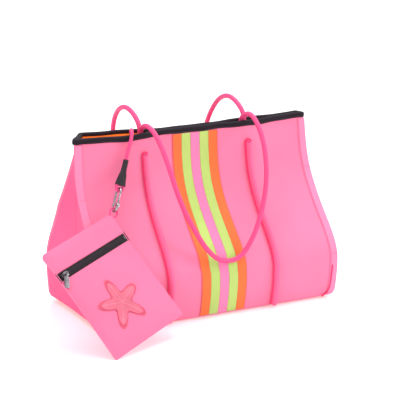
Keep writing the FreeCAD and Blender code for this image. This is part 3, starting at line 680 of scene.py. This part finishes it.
def build_gussets():
    across = spread(-1.0, 1.0, 60, 0.03)
    zs = spread(0.006, BAG_HEIGHT - 0.0005, 90, SHELL / 2)
    for name, side in HANDS:
        # The side walls' darker pink is painted shade.
        cloth = skin(name + "_gusset_cloth", on_gusset(side, 3 * SKIN_GAP), across, zs,
                     -SHELL, 0.0, SHELL / 2, PINKS["gusset"])
        finished(cloth, "bag", "gusset_neoprene", name + "_gusset")


def build_linings():
    high = -SHELL - SKIN_GAP
    xs = spread(-0.965 * PANEL_HALF, 0.965 * PANEL_HALF, 70, LINING)
    across = spread(-1.0, 1.0, 30, 0.02)
    zs = spread(0.012, BAG_HEIGHT - 0.0005, 60, LINING)
    walls = [(name, on_wall(side), xs) for name, side in SIDES]
    walls += [(name, on_gusset(side, LINING + 5 * SKIN_GAP), across) for name, side in HANDS]
    for name, place, us in walls:
        cloth = skin("lining_cloth_" + name, place, us, zs, high - LINING, high, LINING, LINING_CLOTH)
        finished(cloth, "bag", "lining_orange", "lining_" + name)


def on_floor_plate(half_x, half_y, corner):
    """place(x, y, z) on a plate with rounded corners."""
    def place(x, y, z):
        rise = np.clip(np.abs(y) - (half_y - corner), 0, corner * 0.985)
        limit = half_x - (corner - np.sqrt(corner ** 2 - rise ** 2))
        return np.stack([x * limit / half_x, y, z], -1)
    return place


def build_base():
    half_x, half_y = EDGE_X[1] - 0.014, FLOOR_DEPTH - 0.0065
    xs = spread(-half_x, half_x, 60, 0.0025)
    ys = spread(-half_y, half_y, 40, 0.0025)
    plate = skin("base_cloth", on_floor_plate(half_x, half_y, 0.022), xs, ys,
                 0.0, SHELL, 0.0025, PINKS["panel"])
    finished(plate, "bag", "pink_neoprene", "base_panel")


def build_hems():
    zs = spread(TRIM_FOOT_Z, TRIM_TOP_Z, 110, HEM / 2)
    for name, side in SIDES:
        for hand, sign in HANDS:
            ends = sorted((sign * PANEL_HALF, sign * (PANEL_HALF - HEM_WIDTH)))
            xs = spread(ends[0], ends[1], 12, HEM / 2)
            hem = skin(f"{name}_{hand}_hem_strip", on_wall(side), xs, zs,
                       SKIN_GAP, SKIN_GAP + HEM, HEM / 2, PINKS["hem"])
            finished(hem, "bag", "hem_neoprene", f"{name}_{hand}_hem")


def build_stripes():
    zs = spread(TRIM_FOOT_Z, TRIM_TOP_Z, 130, STRIPE / 2)
    rows = (("orange_left", "orange"), ("lime_left", "lime"), ("pink_middle", "pink"),
            ("lime_right", "lime"), ("orange_right", "orange"))
    for name, side in SIDES:
        for i, (place_name, colour) in enumerate(rows):
            left = (i - 2.5) * STRIPE_WIDTH + SKIN_GAP / 2
            xs = spread(left, left + STRIPE_WIDTH - SKIN_GAP, 49, STRIPE / 2)
            ribs = 0.00009 * np.cos(2 * math.pi * xs / 0.0015)
            high = SKIN_GAP + STRIPE + np.repeat(ribs[:, None], len(zs), 1)
            tape = skin(f"{name}_webbing_{place_name}", on_wall(side), xs, zs,
                        SKIN_GAP, high, STRIPE / 2, STRIPE_CLOTHS[colour])
            finished(tape, "bag", "stripe_" + colour, f"{name}_stripe_{place_name}")


def round_topped(side, centre, reach):
    """place(x, z, out) on a panel for a strip whose top end is a half circle in plan."""
    wall = on_wall(side)

    def place(x, z, out):
        gap = np.clip((CHANNEL_TOP_Z + CHANNEL_FLANGE - z) / reach, 0.02, 1)
        return wall(centre + (x - centre) * np.sqrt(1 - (1 - gap) ** 2), z, out)
    return place


def build_channels():
    """Cloth drawn tight over the rope: a round ridge between two sewn flanges, closed at the top."""
    reach = CHANNEL_HALF_WIDTH - 0.0012
    ridge = CHANNEL_HALF_WIDTH - 0.0024
    zs = spread(TRIM_FOOT_Z, CHANNEL_TOP_Z + CHANNEL_FLANGE, 130, 0.0006)
    to_top = np.clip((CHANNEL_TOP_Z - zs) / 0.008, 0, 1)
    to_foot = np.clip((zs - TRIM_FOOT_Z) / 0.006, 0, 1)
    dome = np.sqrt(1 - (1 - to_top) ** 2) * np.sqrt(1 - (1 - to_foot) ** 2 * 0.6)
    for name, side in SIDES:
        for hand, sign in HANDS:
            centre = sign * CHANNEL_X
            xs = spread(centre - reach, centre + reach, 33, 0.0006)
            u = (xs - centre) / ridge
            arch = np.sqrt(np.clip(1 - np.abs(u) ** 2.2, 0, 1))
            high = SKIN_GAP + 0.0009 + (CHANNEL_HEIGHT - 0.0013) * np.outer(arch, dome)
            cover = skin(f"{name}_{hand}_channel_cover", round_topped(side, centre, reach), xs, zs,
                         SKIN_GAP * 0.5, high, 0.0006, PINKS["channel"])
            finished(cover, "bag", "channel_neoprene", f"{name}_{hand}_rope_channel")


def wall_line(side, xs, zs, out):
    """Points and outward normals of a seam on a panel; xs or zs may be a single number."""
    xs, zs = np.broadcast_arrays(xs, zs)
    place = on_wall(side)
    points = place(xs, zs, out)
    return points, unit(place(xs, zs, out + 0.001) - points)


def build_seams():
    """Stitches along the hems, the stripes' outer edges and the rope channels."""
    zs = np.linspace(TRIM_FOOT_Z + 0.002, TRIM_TOP_Z - 0.001, 120)
    channel_zs = np.linspace(TRIM_FOOT_Z + 0.003, CHANNEL_TOP_Z - 0.004, 110)
    hem_edge = PANEL_HALF - HEM_WIDTH
    for name, side in SIDES:
        lines = []
        for sign in (-1, 1):
            channel_edge = sign * CHANNEL_X + CHANNEL_HALF_WIDTH - 0.0019
            lines += [wall_line(side, sign * (hem_edge + 0.0016), zs, SKIN_GAP + HEM),
                      wall_line(side, sign * (2.5 * STRIPE_WIDTH - 0.0012), zs, SKIN_GAP + STRIPE),
                      wall_line(side, channel_edge, channel_zs, SKIN_GAP + 0.0009)]
        for sign, height in ((1, 0.2264), (1, 0.0855), (-1, 0.218)):
            across = np.linspace(PANEL_HALF - 0.0015, hem_edge + 0.001, 12) * sign
            lines.append(wall_line(side, across, height, SKIN_GAP + HEM))
        sew(name + "_seam_stitches", lines, 0.0029, 0.74, 0.00048, PINK_THREAD, "bag", "pink_neoprene")


def build_shade_lines():
    """A thin dark cord along each channel's left edge and round its top: painted shade where the channel's
    flank and crease fall into shadow.
    """
    turn = CHANNEL_HALF_WIDTH - 0.0010
    top = CHANNEL_TOP_Z + CHANNEL_FLANGE - turn
    arc = np.radians(np.linspace(180, 20, 14))
    rise = np.linspace(TRIM_FOOT_Z + 0.001, top, 150)[:-1]
    for name, side in SIDES:
        for hand, sign in HANDS:
            centre = sign * CHANNEL_X
            xs = np.concatenate([np.full_like(rise, centre - turn), centre + turn * np.cos(arc)])
            zs = np.concatenate([rise, top + turn * np.sin(arc)])
            path = resampled(on_wall(side)(xs, zs, 0.0024), 0.0018)
            cord = tube(f"{name}_{hand}_painted_shade_line", path, SHADE_LINE_R, 8, SHADE_LINE)
            finished(cord, "bag", "channel_neoprene")


def build_corner_creases():
    """A dark cord where the side wall folds under the foot of each right hem: painted shade in the fold."""
    xs = PANEL_HALF - np.array([0.0105, 0.0115, 0.0120, 0.0128, 0.0150, 0.0210])
    zs = np.array([0.064, 0.050, 0.035, 0.022, 0.011, 0.004])
    for name, side in SIDES:
        path = resampled(on_wall(side)(xs, zs, SKIN_GAP + HEM + 0.0004), 0.0015)
        crease = tube(f"{name}_right_corner_crease", path, SHADE_LINE_R, 8, SHADE_LINE)
        finished(crease, "bag", "channel_neoprene")


def rim_loop():
    """Plan of the middle of the rim's wall, a closed loop, with its outward directions."""
    inset = (SHELL + LINING) / 2 + SKIN_GAP
    runs = []
    for side in (-1, 1):
        ends = [hand * (RIM_EDGE_X[side, hand] - inset + 0.0008) for hand in (-1, 1)]
        xs = np.linspace(ends[0], ends[1], 300)
        ys = middle(xs, BAG_HEIGHT) + side * (rim_depth(xs) - inset)
        runs.append(np.stack([xs, ys], -1)[::-side])
    closed = np.concatenate([*runs, runs[0][:1]])
    travelled = along(closed)
    count = int(travelled[-1] / RIM_STEP)
    places = np.linspace(0, travelled[-1], count, endpoint=False)
    even = at(places, travelled, closed)
    for _ in range(2):
        even = (np.roll(even, 1, 0) + 2 * even + np.roll(even, -1, 0)) / 4
    ahead = unit(np.roll(even, -1, 0) - np.roll(even, 1, 0))
    return even, np.stack([ahead[:, 1], -ahead[:, 0]], -1), places


def binding_section(wall):
    """The folded tape in section: offsets from the rim's middle and heights."""
    top = BAG_HEIGHT - 0.0018
    foot = BAG_HEIGHT - BINDING_DROP
    inner_foot = foot + 0.0030
    outer = [(wall + BINDING, z) for z in np.linspace(foot + 0.0006, top - 0.0004, 7)]
    fold = [(math.sin(a) * (wall + BINDING), top + math.cos(a) * 0.0032)
            for a in np.radians(np.linspace(90, -90, 9))]
    inner = [(-wall - BINDING, z) for z in np.linspace(top - 0.0004, inner_foot + 0.0006, 7)]
    hidden = [(-wall, inner_foot), (-wall, top - 0.0012), (wall, top - 0.0012), (wall, foot)]
    return np.array(outer + fold + inner + hidden), top - 0.004


def build_binding():
    """One black tape folded over the whole rim, with a soft wave and a doubled end at one corner."""
    plan, outward, places = rim_loop()
    wall = (SHELL + LINING) / 2 + 2 * SKIN_GAP
    section, fold_foot = binding_section(wall)
    offset, z = section.T
    wave = 0.0005 * np.sin(places * 47) + 0.0004 * np.sin(places * 113 + 1.0)
    puff = 0.00035 * np.sin(places * 81 + 0.5)
    lap = np.clip(1 - np.abs(places - places[-1] * 0.985) / 0.009, 0, 1) ** 0.3 * 0.0009
    swell = np.outer(puff + lap, np.sign(offset) * (np.abs(offset) > wall + 0.0001))
    raised = lift(plan[:, :1], BAG_HEIGHT)
    level = plan[:, None] + outward[:, None] * (offset + swell)[..., None]
    height = z + np.outer(wave, np.where(z < fold_foot, 1.0, 0.5)) + raised
    points = np.concatenate([level, height[..., None]], -1)
    index = np.arange(height.size).reshape(height.shape)
    girth = along(section)
    lays = corner_lays(np.append(places, places[-1] + RIM_STEP), np.append(girth, girth[-1] + 0.006))
    faces = grid_quads(np.pad(index, (0, 1), "wrap"))
    tape = make_object("rim_binding_tape", points.reshape(-1, 3), faces, lays, BLACK_TAPE)
    finished(tape, "bag", "black_binding",
             "rim_binding_front", "rim_binding_back", "rim_binding_left", "rim_binding_right")

    seam_z = BAG_HEIGHT - BINDING_DROP + 0.002 + wave[:, None] + raised
    line = np.concatenate([plan + outward * (wall + BINDING + 0.0001), seam_z], 1)
    normals = np.concatenate([outward, np.zeros_like(raised)], 1)
    sew("rim_stitches", [(line, normals)], 0.0030, 0.7, 0.0003, BLACK_THREAD, "bag", "black_binding")


# ---- ropes ----

def smooth_line(route):
    """Points of the smooth spline that has a route's points as its control points."""
    curve = bpy.data.curves.new("route", "CURVE")
    curve.dimensions = "3D"
    spline = curve.splines.new("NURBS")
    spline.points.add(len(route) - 1)
    for point, place in zip(spline.points, route):
        point.co = (*[c * MM for c in place], 1.0)
    spline.order_u = 3
    spline.use_endpoint_u = True
    spline.resolution_u = 24
    carrier = bpy.data.objects.new("route", curve)
    mesh = bpy.data.meshes.new_from_object(carrier)
    points = np.array([v.co for v in mesh.vertices], float)
    bpy.data.objects.remove(carrier)
    bpy.data.meshes.remove(mesh)
    return points


def braided(name, path, radius, strands, pitch, sides):
    """A plaited rope: staggered diamond bumps round a tube."""
    depth = radius * 0.09

    def relief(angle, distance):
        return 0.5 + 0.5 * np.cos(strands * angle) * np.cos(2 * math.pi * distance / pitch)

    def reach(angle, distance):
        return radius - depth + depth * relief(angle, distance)
    return tube(name, path, reach, sides, ROPE, relief)


def build_handles():
    for name, side, route in (("front", -1, FRONT_HANDLE), ("back", 1, BACK_HANDLE)):
        path = resampled(smooth_line(route), 0.00075)
        rope = braided(name + "_rope_handle", path, ROPE_R, 10, 0.0048, 40)
        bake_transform(rope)
        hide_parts(name + "_handle_roots", name + "_handle_rope")
        float(along(path)[-1])


# ---- lanyard ----

HANG = (HOOK_FOOT - SLEEVE_TOP).normalized()
EYE_WIDTH_AXIS = Vector((0, 1, 0)).cross(HANG).normalized()
HOOK_WIDTH_AXIS = HANG.cross(EYE_WIDTH_AXIS).normalized()


def hanging(points):
    """Points drawn with +Z up from z = 0 onto the lanyard's line."""
    axes = np.array([EYE_WIDTH_AXIS, -HOOK_WIDTH_AXIS, -HANG])
    return np.asarray(points) @ axes + np.array(SLEEVE_TOP)


# The shrink sleeve's sections: depth below its top, half width and half depth, in mm.
SLEEVE_SECTIONS = np.array([
    (0.0, 4.3, 4.2), (1.5, 4.7, 4.6), (14.0, 4.9, 4.7), (22.0, 5.3, 4.9), (26.0, 6.6, 5.2),
    (31.0, 7.6, 5.0), (38.0, 8.9, 5.2), (44.5, 10.3, 5.4), (46.0, 10.0, 5.2)]) * MM


def build_sleeve():
    """Shrink tube over the rope's doubled end, creased where it widens."""
    turns, steps = 48, np.linspace(0, -SLEEVE_LENGTH, 60)
    angle, z = grid(np.linspace(0, 2 * math.pi, turns, endpoint=False), steps)
    depth, wide, deep = SLEEVE_SECTIONS.T
    crumple = 1.7 * np.clip((-z - 0.016) / 0.008, 0, 1) * np.clip((0.044 + z) / 0.01, 0.2, 1)
    creases = 0.0006 * crumple * np.sin(5 * angle + z * 260) * np.sin(2 * angle + 1)
    rx, ry = (np.interp(-z, depth, reach) + creases for reach in (wide, deep))
    rings = hanging(np.stack([rx * np.cos(angle), ry * np.sin(angle), z], -1))
    tips = hanging([[0, 0, 0.0004], [0, 0, -SLEEVE_LENGTH + 0.0015]])
    sleeve = capped("lanyard_shrink_sleeve", rings, np.zeros(turns + 1), np.zeros(len(steps)), tips,
                    SLEEVE_BLACK)
    return finished(sleeve, "bag", "black_sleeve", "lanyard_sleeve")


def build_lanyard():
    """The rope from the bag's mouth, its sleeve and the eye that holds the hook."""
    path = resampled(smooth_line(LANYARD), 0.0006)
    rope = braided("lanyard_cord", path, LANYARD_R, 8, 0.0038, 32)
    finished(rope, "bag", "rope_pink", "lanyard_rope")
    sleeve = build_sleeve()
    leg = np.linspace(-SLEEVE_LENGTH + 0.001, -EYE_CENTRE, 6)[:-1]
    arc = np.radians(np.linspace(180, 360, 40))
    bend = [(EYE_R * math.cos(a), 0, -EYE_CENTRE + EYE_R * math.sin(a)) for a in arc]
    drawn = [(-EYE_R, 0, z) for z in leg] + bend + [(EYE_R, 0, z) for z in leg[::-1]]
    eye = braided("lanyard_eye_cord", resampled(hanging(drawn), 0.0005), EYE_ROPE_R, 8, 0.0036, 32)
    finished(eye, "bag", "rope_pink", "lanyard_eye")
    return path, rope, sleeve, eye


def build_hardware(node, material, slot, bevel):
    """One carried-over part: welded, its sharp edges broken, its finish set."""
    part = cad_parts[node]
    part.data.materials.clear()
    part.data.materials.append(material)
    part.data.polygons.foreach_set("use_smooth", [True] * len(part.data.polygons))
    weld = part.modifiers.new("weld", "WELD")
    weld.merge_threshold = 0.00001
    edge = part.modifiers.new("edges", "BEVEL")
    edge.width = bevel
    edge.segments = 2
    edge.limit_method = "ANGLE"
    edge.angle_limit = math.radians(40)
    edge.harden_normals = True
    return part


# Carried-over parts: material, slot and bevel of each node.
HARDWARE = {
    "hook_body": (CHROME, "hook_steel", 0.0002),
    "hook_gate": (CHROME, "hook_steel", 0.0002),
    "hook_pin": (GUNMETAL, "hook_steel", 0.0001),
    "zip_slider": (GUNMETAL, "zip_metal", 0.0002),
    "zip_pull": (GUNMETAL, "zip_metal", 0.00025),
    "zip_stops": (GUNMETAL, "zip_metal", 0.0002),
    "side_snap_left": (SNAP_STEEL, "snap_steel", 0.0002),
    "side_snap_right": (SNAP_STEEL, "snap_steel", 0.0002),
    "magnetic_clasp": (SNAP_STEEL, "clasp_steel", 0.0002),
    "base_board": (BOARD_BLACK, "black_binding", 0.0006),
    "handle_patches": (PINKS["on_cad"], "pink_neoprene", 0.0002),
    "lanyard_tab": (PINKS["on_cad"], "pink_neoprene", 0.0002),
    "channel_ropes": (ROPE_ON_CAD, "rope_pink", 0.0001),
}


# ---- pouch ----

POUCH_YAW, POUCH_LEAN, POUCH_ROLL = (math.radians(a) for a in (11.0, 37.6, 16.4))
POUCH_N = Vector((math.sin(POUCH_YAW) * math.cos(POUCH_LEAN),
                  -math.cos(POUCH_YAW) * math.cos(POUCH_LEAN), math.sin(POUCH_LEAN)))
POUCH_LEVEL = Vector((math.cos(POUCH_YAW), math.sin(POUCH_YAW), 0))
POUCH_RISE = POUCH_N.cross(POUCH_LEVEL)
POUCH_X = (POUCH_LEVEL * math.cos(POUCH_ROLL) + POUCH_RISE * math.sin(POUCH_ROLL)).normalized()
POUCH_UP = (POUCH_RISE * math.cos(POUCH_ROLL) - POUCH_LEVEL * math.sin(POUCH_ROLL)).normalized()
POUCH_CORNER = 0.009


def on_pouch(x, y, z):
    """Points drawn flat on the pouch: x to its right edge, y up to its top edge, z out."""
    drawn = np.stack([x, y, z], -1)
    return drawn @ np.array([POUCH_X, POUCH_UP, POUCH_N]) + np.array(POUCH_TOP_RIGHT)


def facing(values):
    """The pouch's outward direction, once for each value."""
    return np.tile(np.array(POUCH_N), (len(values), 1))


def pouch_edges(y):
    """Left and right edge of the pouch at a height: round corners and a slight waist."""
    corner = np.where(y > -POUCH_H / 2, POUCH_CORNER, POUCH_CORNER * 0.4)
    gap = np.minimum(-y, POUCH_H + y)
    rise = np.clip(corner - gap, 0, corner * 0.985)
    turn = corner - np.sqrt(corner ** 2 - rise ** 2)
    waist = 0.0012 * np.sin(math.pi * np.clip(-y / POUCH_H, 0, 1))
    return -POUCH_W + turn + waist, -turn - waist


def pouch_swell(x, y, top, foot, height):
    """How far a pouch panel swells between its seams."""
    u = np.clip((x + POUCH_W) / POUCH_W, 0, 1)
    v = np.clip((y - foot) / (top - foot), 0, 1)
    crown = (1 - np.abs(2 * u - 1) ** 2.4) * (1 - np.abs(2 * v - 1) ** 2.4)
    ripple = 0.0005 * np.sin(x * 60 + y * 25) * np.sin(y * 45) * np.clip(crown * 4, 0, 1)
    return height * crown + ripple


def pouch_warp(x, y):
    """A slow bend of the whole pouch, nothing beside the zip's slider."""
    left = np.clip(-x / POUCH_W, 0, 1)
    low = np.clip(-(y + 0.075) / (POUCH_H - 0.075), 0, 1)
    ear = -0.0030 * np.clip((left - 0.80) / 0.20, 0, 1) ** 2 * np.clip((y + 0.030) / 0.030, 0, 1)
    return ear + 0.0022 * low ** 2 * np.sin(math.pi * left)


def pressed(x, y, out):
    """The pouch's layers press together at its sewn edge."""
    gap = np.minimum(np.minimum(x + POUCH_W, -x), np.minimum(-y, y + POUCH_H))
    squeeze = 1 - 0.5 * np.exp(-(np.maximum(gap, 0) / 0.008) ** 2)
    return POUCH_BACK / 2 + (out - POUCH_BACK / 2) * squeeze


def pouch_sheet(name, top, foot, low, high, swell, rows):
    edge = (high - low) / 2

    def place(u, y, out):
        left, right = pouch_edges(y)
        x = left + (right - left) * u
        crown = pouch_swell(x, y, top, foot, swell)
        return on_pouch(x, y, pressed(x, y, out) + crown + pouch_warp(x, y))
    us = spread(0.0, 1.0, 90, edge / POUCH_W)
    ys = spread(foot, top, rows, edge)
    return skin(name, place, us, ys, low, high, edge, PINKS["pouch"])


def build_pouch():
    """The pouch's three cloths and the tape sewn round them."""
    back, front = (POUCH_BACK, POUCH_BACK + POUCH_CLOTH), (-POUCH_CLOTH, 0.0)
    for name, node, top, foot, layer, swell, rows in (
            ("back_cloth", "back_panel", 0.0, -POUCH_H, back, -0.0028, 80),
            ("top_cloth", "top_band", 0.0, ZIP_TOP, front, 0.0012, 24),
            ("front_cloth", "front_panel", ZIP_FOOT, -POUCH_H, front, FRONT_SWELL, 80)):
        cloth = pouch_sheet("pouch_" + name, top, foot, *layer, swell, rows)
        finished(cloth, "pouch", "pouch_neoprene", "pouch_" + node)

    inset, low = 0.0016, -POUCH_H + 0.006
    ys = np.concatenate([np.linspace(-0.0002, -POUCH_CORNER, 9),
                         np.linspace(-POUCH_CORNER, low, 60)[1:],
                         np.linspace(low, -POUCH_H + 0.0002, 7)[1:]])
    left, right = pouch_edges(ys)
    x = np.concatenate([right - inset, left[::-1] + inset, right[:1] - inset])
    y = np.clip(np.concatenate([ys, ys[::-1], ys[:1]]), -POUCH_H + inset, -inset)
    rim = resampled(on_pouch(x, y, POUCH_BACK / 2 + pouch_warp(x, y)), 0.0022)
    tape = tube("pouch_edge_tape", rim, 0.0017, 16, PINKS["hem"])
    finished(tape, "pouch", "pouch_neoprene", "pouch_seam_tape")


def build_zip():
    """Black tapes across the whole pouch, a nylon coil between them, and their stitches."""
    def place(u, y, out):
        left, right = pouch_edges(y)
        x = left - 0.0006 + (right - left + 0.0020) * u
        return on_pouch(x, y, pressed(x, y, out) + pouch_warp(x, y))

    us = spread(0.0, 1.0, 60, 0.004)
    for name, sign, nodes in (("upper", 1, ("zip_tapes",)), ("lower", -1, ())):
        foot, top = sorted(-ZIP_FROM_TOP + sign * y for y in (0.0001, ZIP_TAPE_W / 2 + 0.0035))
        ys = spread(foot, top, 14, 0.0005)
        tape = skin("zip_tape_" + name, place, us, ys, -0.0026, -0.0014, 0.0005, ZIP_TAPE)
        finished(tape, "pouch", "zip_tape", *nodes)

    # Each coil loop leans a little and lies by turns above and below the zip's line.
    pitch, lean, reach, shift = 0.0016, 0.0004, 0.0026, 0.0007
    xs = np.arange(-POUCH_W + 0.0095, -0.0085, pitch)
    line = -ZIP_FROM_TOP + np.where(np.arange(len(xs)) % 2, shift, -shift)
    level = np.full_like(xs, -0.0011)
    starts, ends = (on_pouch(xs + sign * lean, line + sign * reach, level) for sign in (-1, 1))
    coil = capsules("zip_coil_loops", starts, ends, facing(xs), 0.00062, COIL, squash=0.9)
    finished(coil, "pouch", "zip_coil", "zip_teeth")

    x = np.linspace(-POUCH_W + 0.004, -0.003, 80)
    lines = []
    for offset in (0.0032, ZIP_TAPE_W / 2 - 0.0012):
        for sign in (-1, 1):
            y = np.full_like(x, -ZIP_FROM_TOP + sign * offset)
            points = on_pouch(x, y, pressed(x, y, -0.0013) + pouch_warp(x, y))
            lines.append((points, facing(x)))
    sew("zip_stitches", lines, 0.0026, 0.7, 0.00026, BLACK_THREAD, "pouch", "zip_tape")


def build_emblem():
    """A padded starfish in satin stitch: rolled edge, raised ribs down the arms, small knots."""
    rings, spokes = 46, 240
    share = np.linspace(0, 1, rings + 1)[1:]
    angle, reach = grid(np.linspace(0, 2 * math.pi, spokes, endpoint=False), share)
    outline = 0.0215 + 0.0260 * (0.5 + 0.5 * np.cos(5 * angle)) ** 1.35
    edge = np.exp(-((reach - 0.90) / 0.07) ** 2)
    rib = np.exp(-(np.sin(2.5 * angle) * reach * outline / 0.0016) ** 2) * (reach < 0.86)
    knots = np.clip(np.cos(10 * angle) * np.cos(reach * 38), 0, 1) ** 3 * (reach > 0.25) * (reach < 0.8)
    dome = np.sqrt(np.clip(1 - reach ** 6, 0, 1))
    height = 0.0002 + dome * (0.0011 + 0.0009 * edge + 0.0007 * rib + 0.0004 * knots)
    relief = np.clip(0.55 - 0.5 * edge + 0.4 * rib + 0.25 * knots, 0, 1)

    def on_front(x, y, out):
        x, y = EMBLEM_X + x, EMBLEM_Y + y
        swell = pouch_swell(x, y, ZIP_FOOT, -POUCH_H, FRONT_SWELL)
        return on_pouch(x, y, swell + pouch_warp(x, y) + out)

    upper = on_front(outline * reach * np.sin(angle), outline * reach * np.cos(angle), height)
    # One tip closes the raised middle, the other the flat underside.
    tips = on_front(np.zeros(2), np.zeros(2), np.array((0.0020, 0.0001)))
    girth = np.linspace(0, 2 * math.pi * 0.024, spokes + 1)
    tone = np.append(relief, (0.6, 0.3))
    star = capped("pouch_starfish", upper, girth, share * 0.03, tips, CORAL, tone)
    finished(star, "pouch", "emblem_felt", "pouch_emblem")


def build_loop():
    """Thin cord from the pouch's top right corner round the hook's foot."""
    foot = Vector(hanging([[0, 0, -HOOK_FOOT_DROP]])[0])
    inset = -POUCH_CORNER
    corner = POUCH_TOP_RIGHT + POUCH_X * inset + POUCH_UP * inset + POUCH_N * (-POUCH_CLOTH - 0.0012)
    outwards = (foot - corner).normalized()
    start = corner + outwards * (POUCH_CORNER + 0.0002)
    over_rod = (outwards - HOOK_WIDTH_AXIS * outwards.dot(HOOK_WIDTH_AXIS)).normalized()
    head = foot + over_rod * (HOOK_ROD_R + LOOP_ROD_R + 0.0008)
    towards = (head - start).normalized()
    sideways = towards.cross(HOOK_WIDTH_AXIS).normalized()
    centre = head - towards * LOOP_R
    reach = (centre - start).length
    leg = math.sqrt(LOOP_FOOT ** 2 + reach ** 2 - LOOP_R ** 2)
    wide = math.degrees(math.atan2(reach, LOOP_FOOT) - math.atan2(leg, LOOP_R))
    drawn = [start - towards * 0.004 + sideways * LOOP_FOOT * 0.6]
    for degrees in np.linspace(-wide, 180 + wide, 32):
        a = math.radians(degrees)
        drawn.append(centre + sideways * LOOP_R * math.cos(a) + towards * LOOP_R * math.sin(a))
    drawn.append(start - towards * 0.004 - sideways * LOOP_FOOT * 0.6)
    path = resampled(np.array(drawn), 0.0004)
    cord = braided("pouch_cord_loop", path, LOOP_ROD_R, 6, 0.0028, 24)
    finished(cord, "pouch", "rope_pink", "pouch_loop")


# ---- stage ----

def aimed(made, place, target):
    """Puts a lamp or the camera at a place, looking at a target."""
    made.location = place
    made.rotation_mode = "QUATERNION"
    made.rotation_quaternion = (Vector(target) - Vector(place)).to_track_quat("-Z", "Y")


def build_floor():
    """A glossy white table top."""
    reach = 30.0
    corners = [(-reach, -reach, 0), (reach, -reach, 0), (reach, reach, 0), (-reach, reach, 0)]
    mesh = bpy.data.meshes.new("floor")
    mesh.from_pydata(corners, [], [(0, 1, 2, 3)])
    white = Surface("floor_white", on_cad=True)
    mesh.materials.append(white.finish(
        (0.93, 0.93, 0.93, 1), Roughness=0.16, Specular_IOR_Level=1.0, IOR=1.9,
        Emission_Color=(1, 1, 1, 1), Emission_Strength=0.3))
    placed("floor", mesh)


# Rectangular lamps: place, target, size and power.
LAMPS = {
    "overhead": ((0.3, 0.3, 2.6), (0, 0, 0.1), (2.6, 2.6), 62),
    "right_window": ((2.2, -1.6, 1.6), (0, 0, 0.15), (1.2, 1.6), 34),
    "left_fill": ((-2.4, -0.9, 0.9), (0, 0, 0.12), (1.4, 1.4), 16),
}


def build_stage():
    """The table, an even white surround and three lamps: above, to the right and to the left."""
    build_floor()
    world = bpy.data.worlds.new("surround")
    world.use_nodes = True
    background = world.node_tree.nodes["Background"].inputs
    background["Color"].default_value = (1, 1, 1, 1)
    background["Strength"].default_value = 0.84
    bpy.context.scene.world = world
    for name, (place, target, size, power) in LAMPS.items():
        data = bpy.data.lights.new(name, "AREA")
        data.shape = "RECTANGLE"
        data.size, data.size_y = size
        data.energy = power
        aimed(placed(name, data), place, target)
    bpy.context.scene.view_settings.view_transform = "Standard"


def build_camera():
    azimuth, elevation, distance = math.radians(-28), math.radians(15), 2.996
    aim = Vector((0.0319, 0.0, 0.1661))
    back = Vector((math.sin(azimuth) * math.cos(elevation), -math.cos(azimuth) * math.cos(elevation),
                   math.sin(elevation)))
    data = bpy.data.cameras.new("camera")
    data.sensor_width = 36.0
    data.lens = 142.8
    camera = placed("camera", data)
    aimed(camera, aim + back * distance, aim)
    bpy.context.scene.camera = camera


build_camera()
build_stage()
build_handles()
cord_path, cord_rope, cord_sleeve, cord_eye = build_lanyard()
hardware = {node: build_hardware(node, *looks) for node, looks in HARDWARE.items()}
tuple(cord_path[0])
float(along(cord_path)[-1])
build_panels()
build_gussets()
build_linings()
build_base()
build_hems()
build_stripes()
build_channels()
build_shade_lines()
build_corner_creases()
build_seams()
build_binding()
build_pouch()
build_zip()
build_emblem()
build_loop()
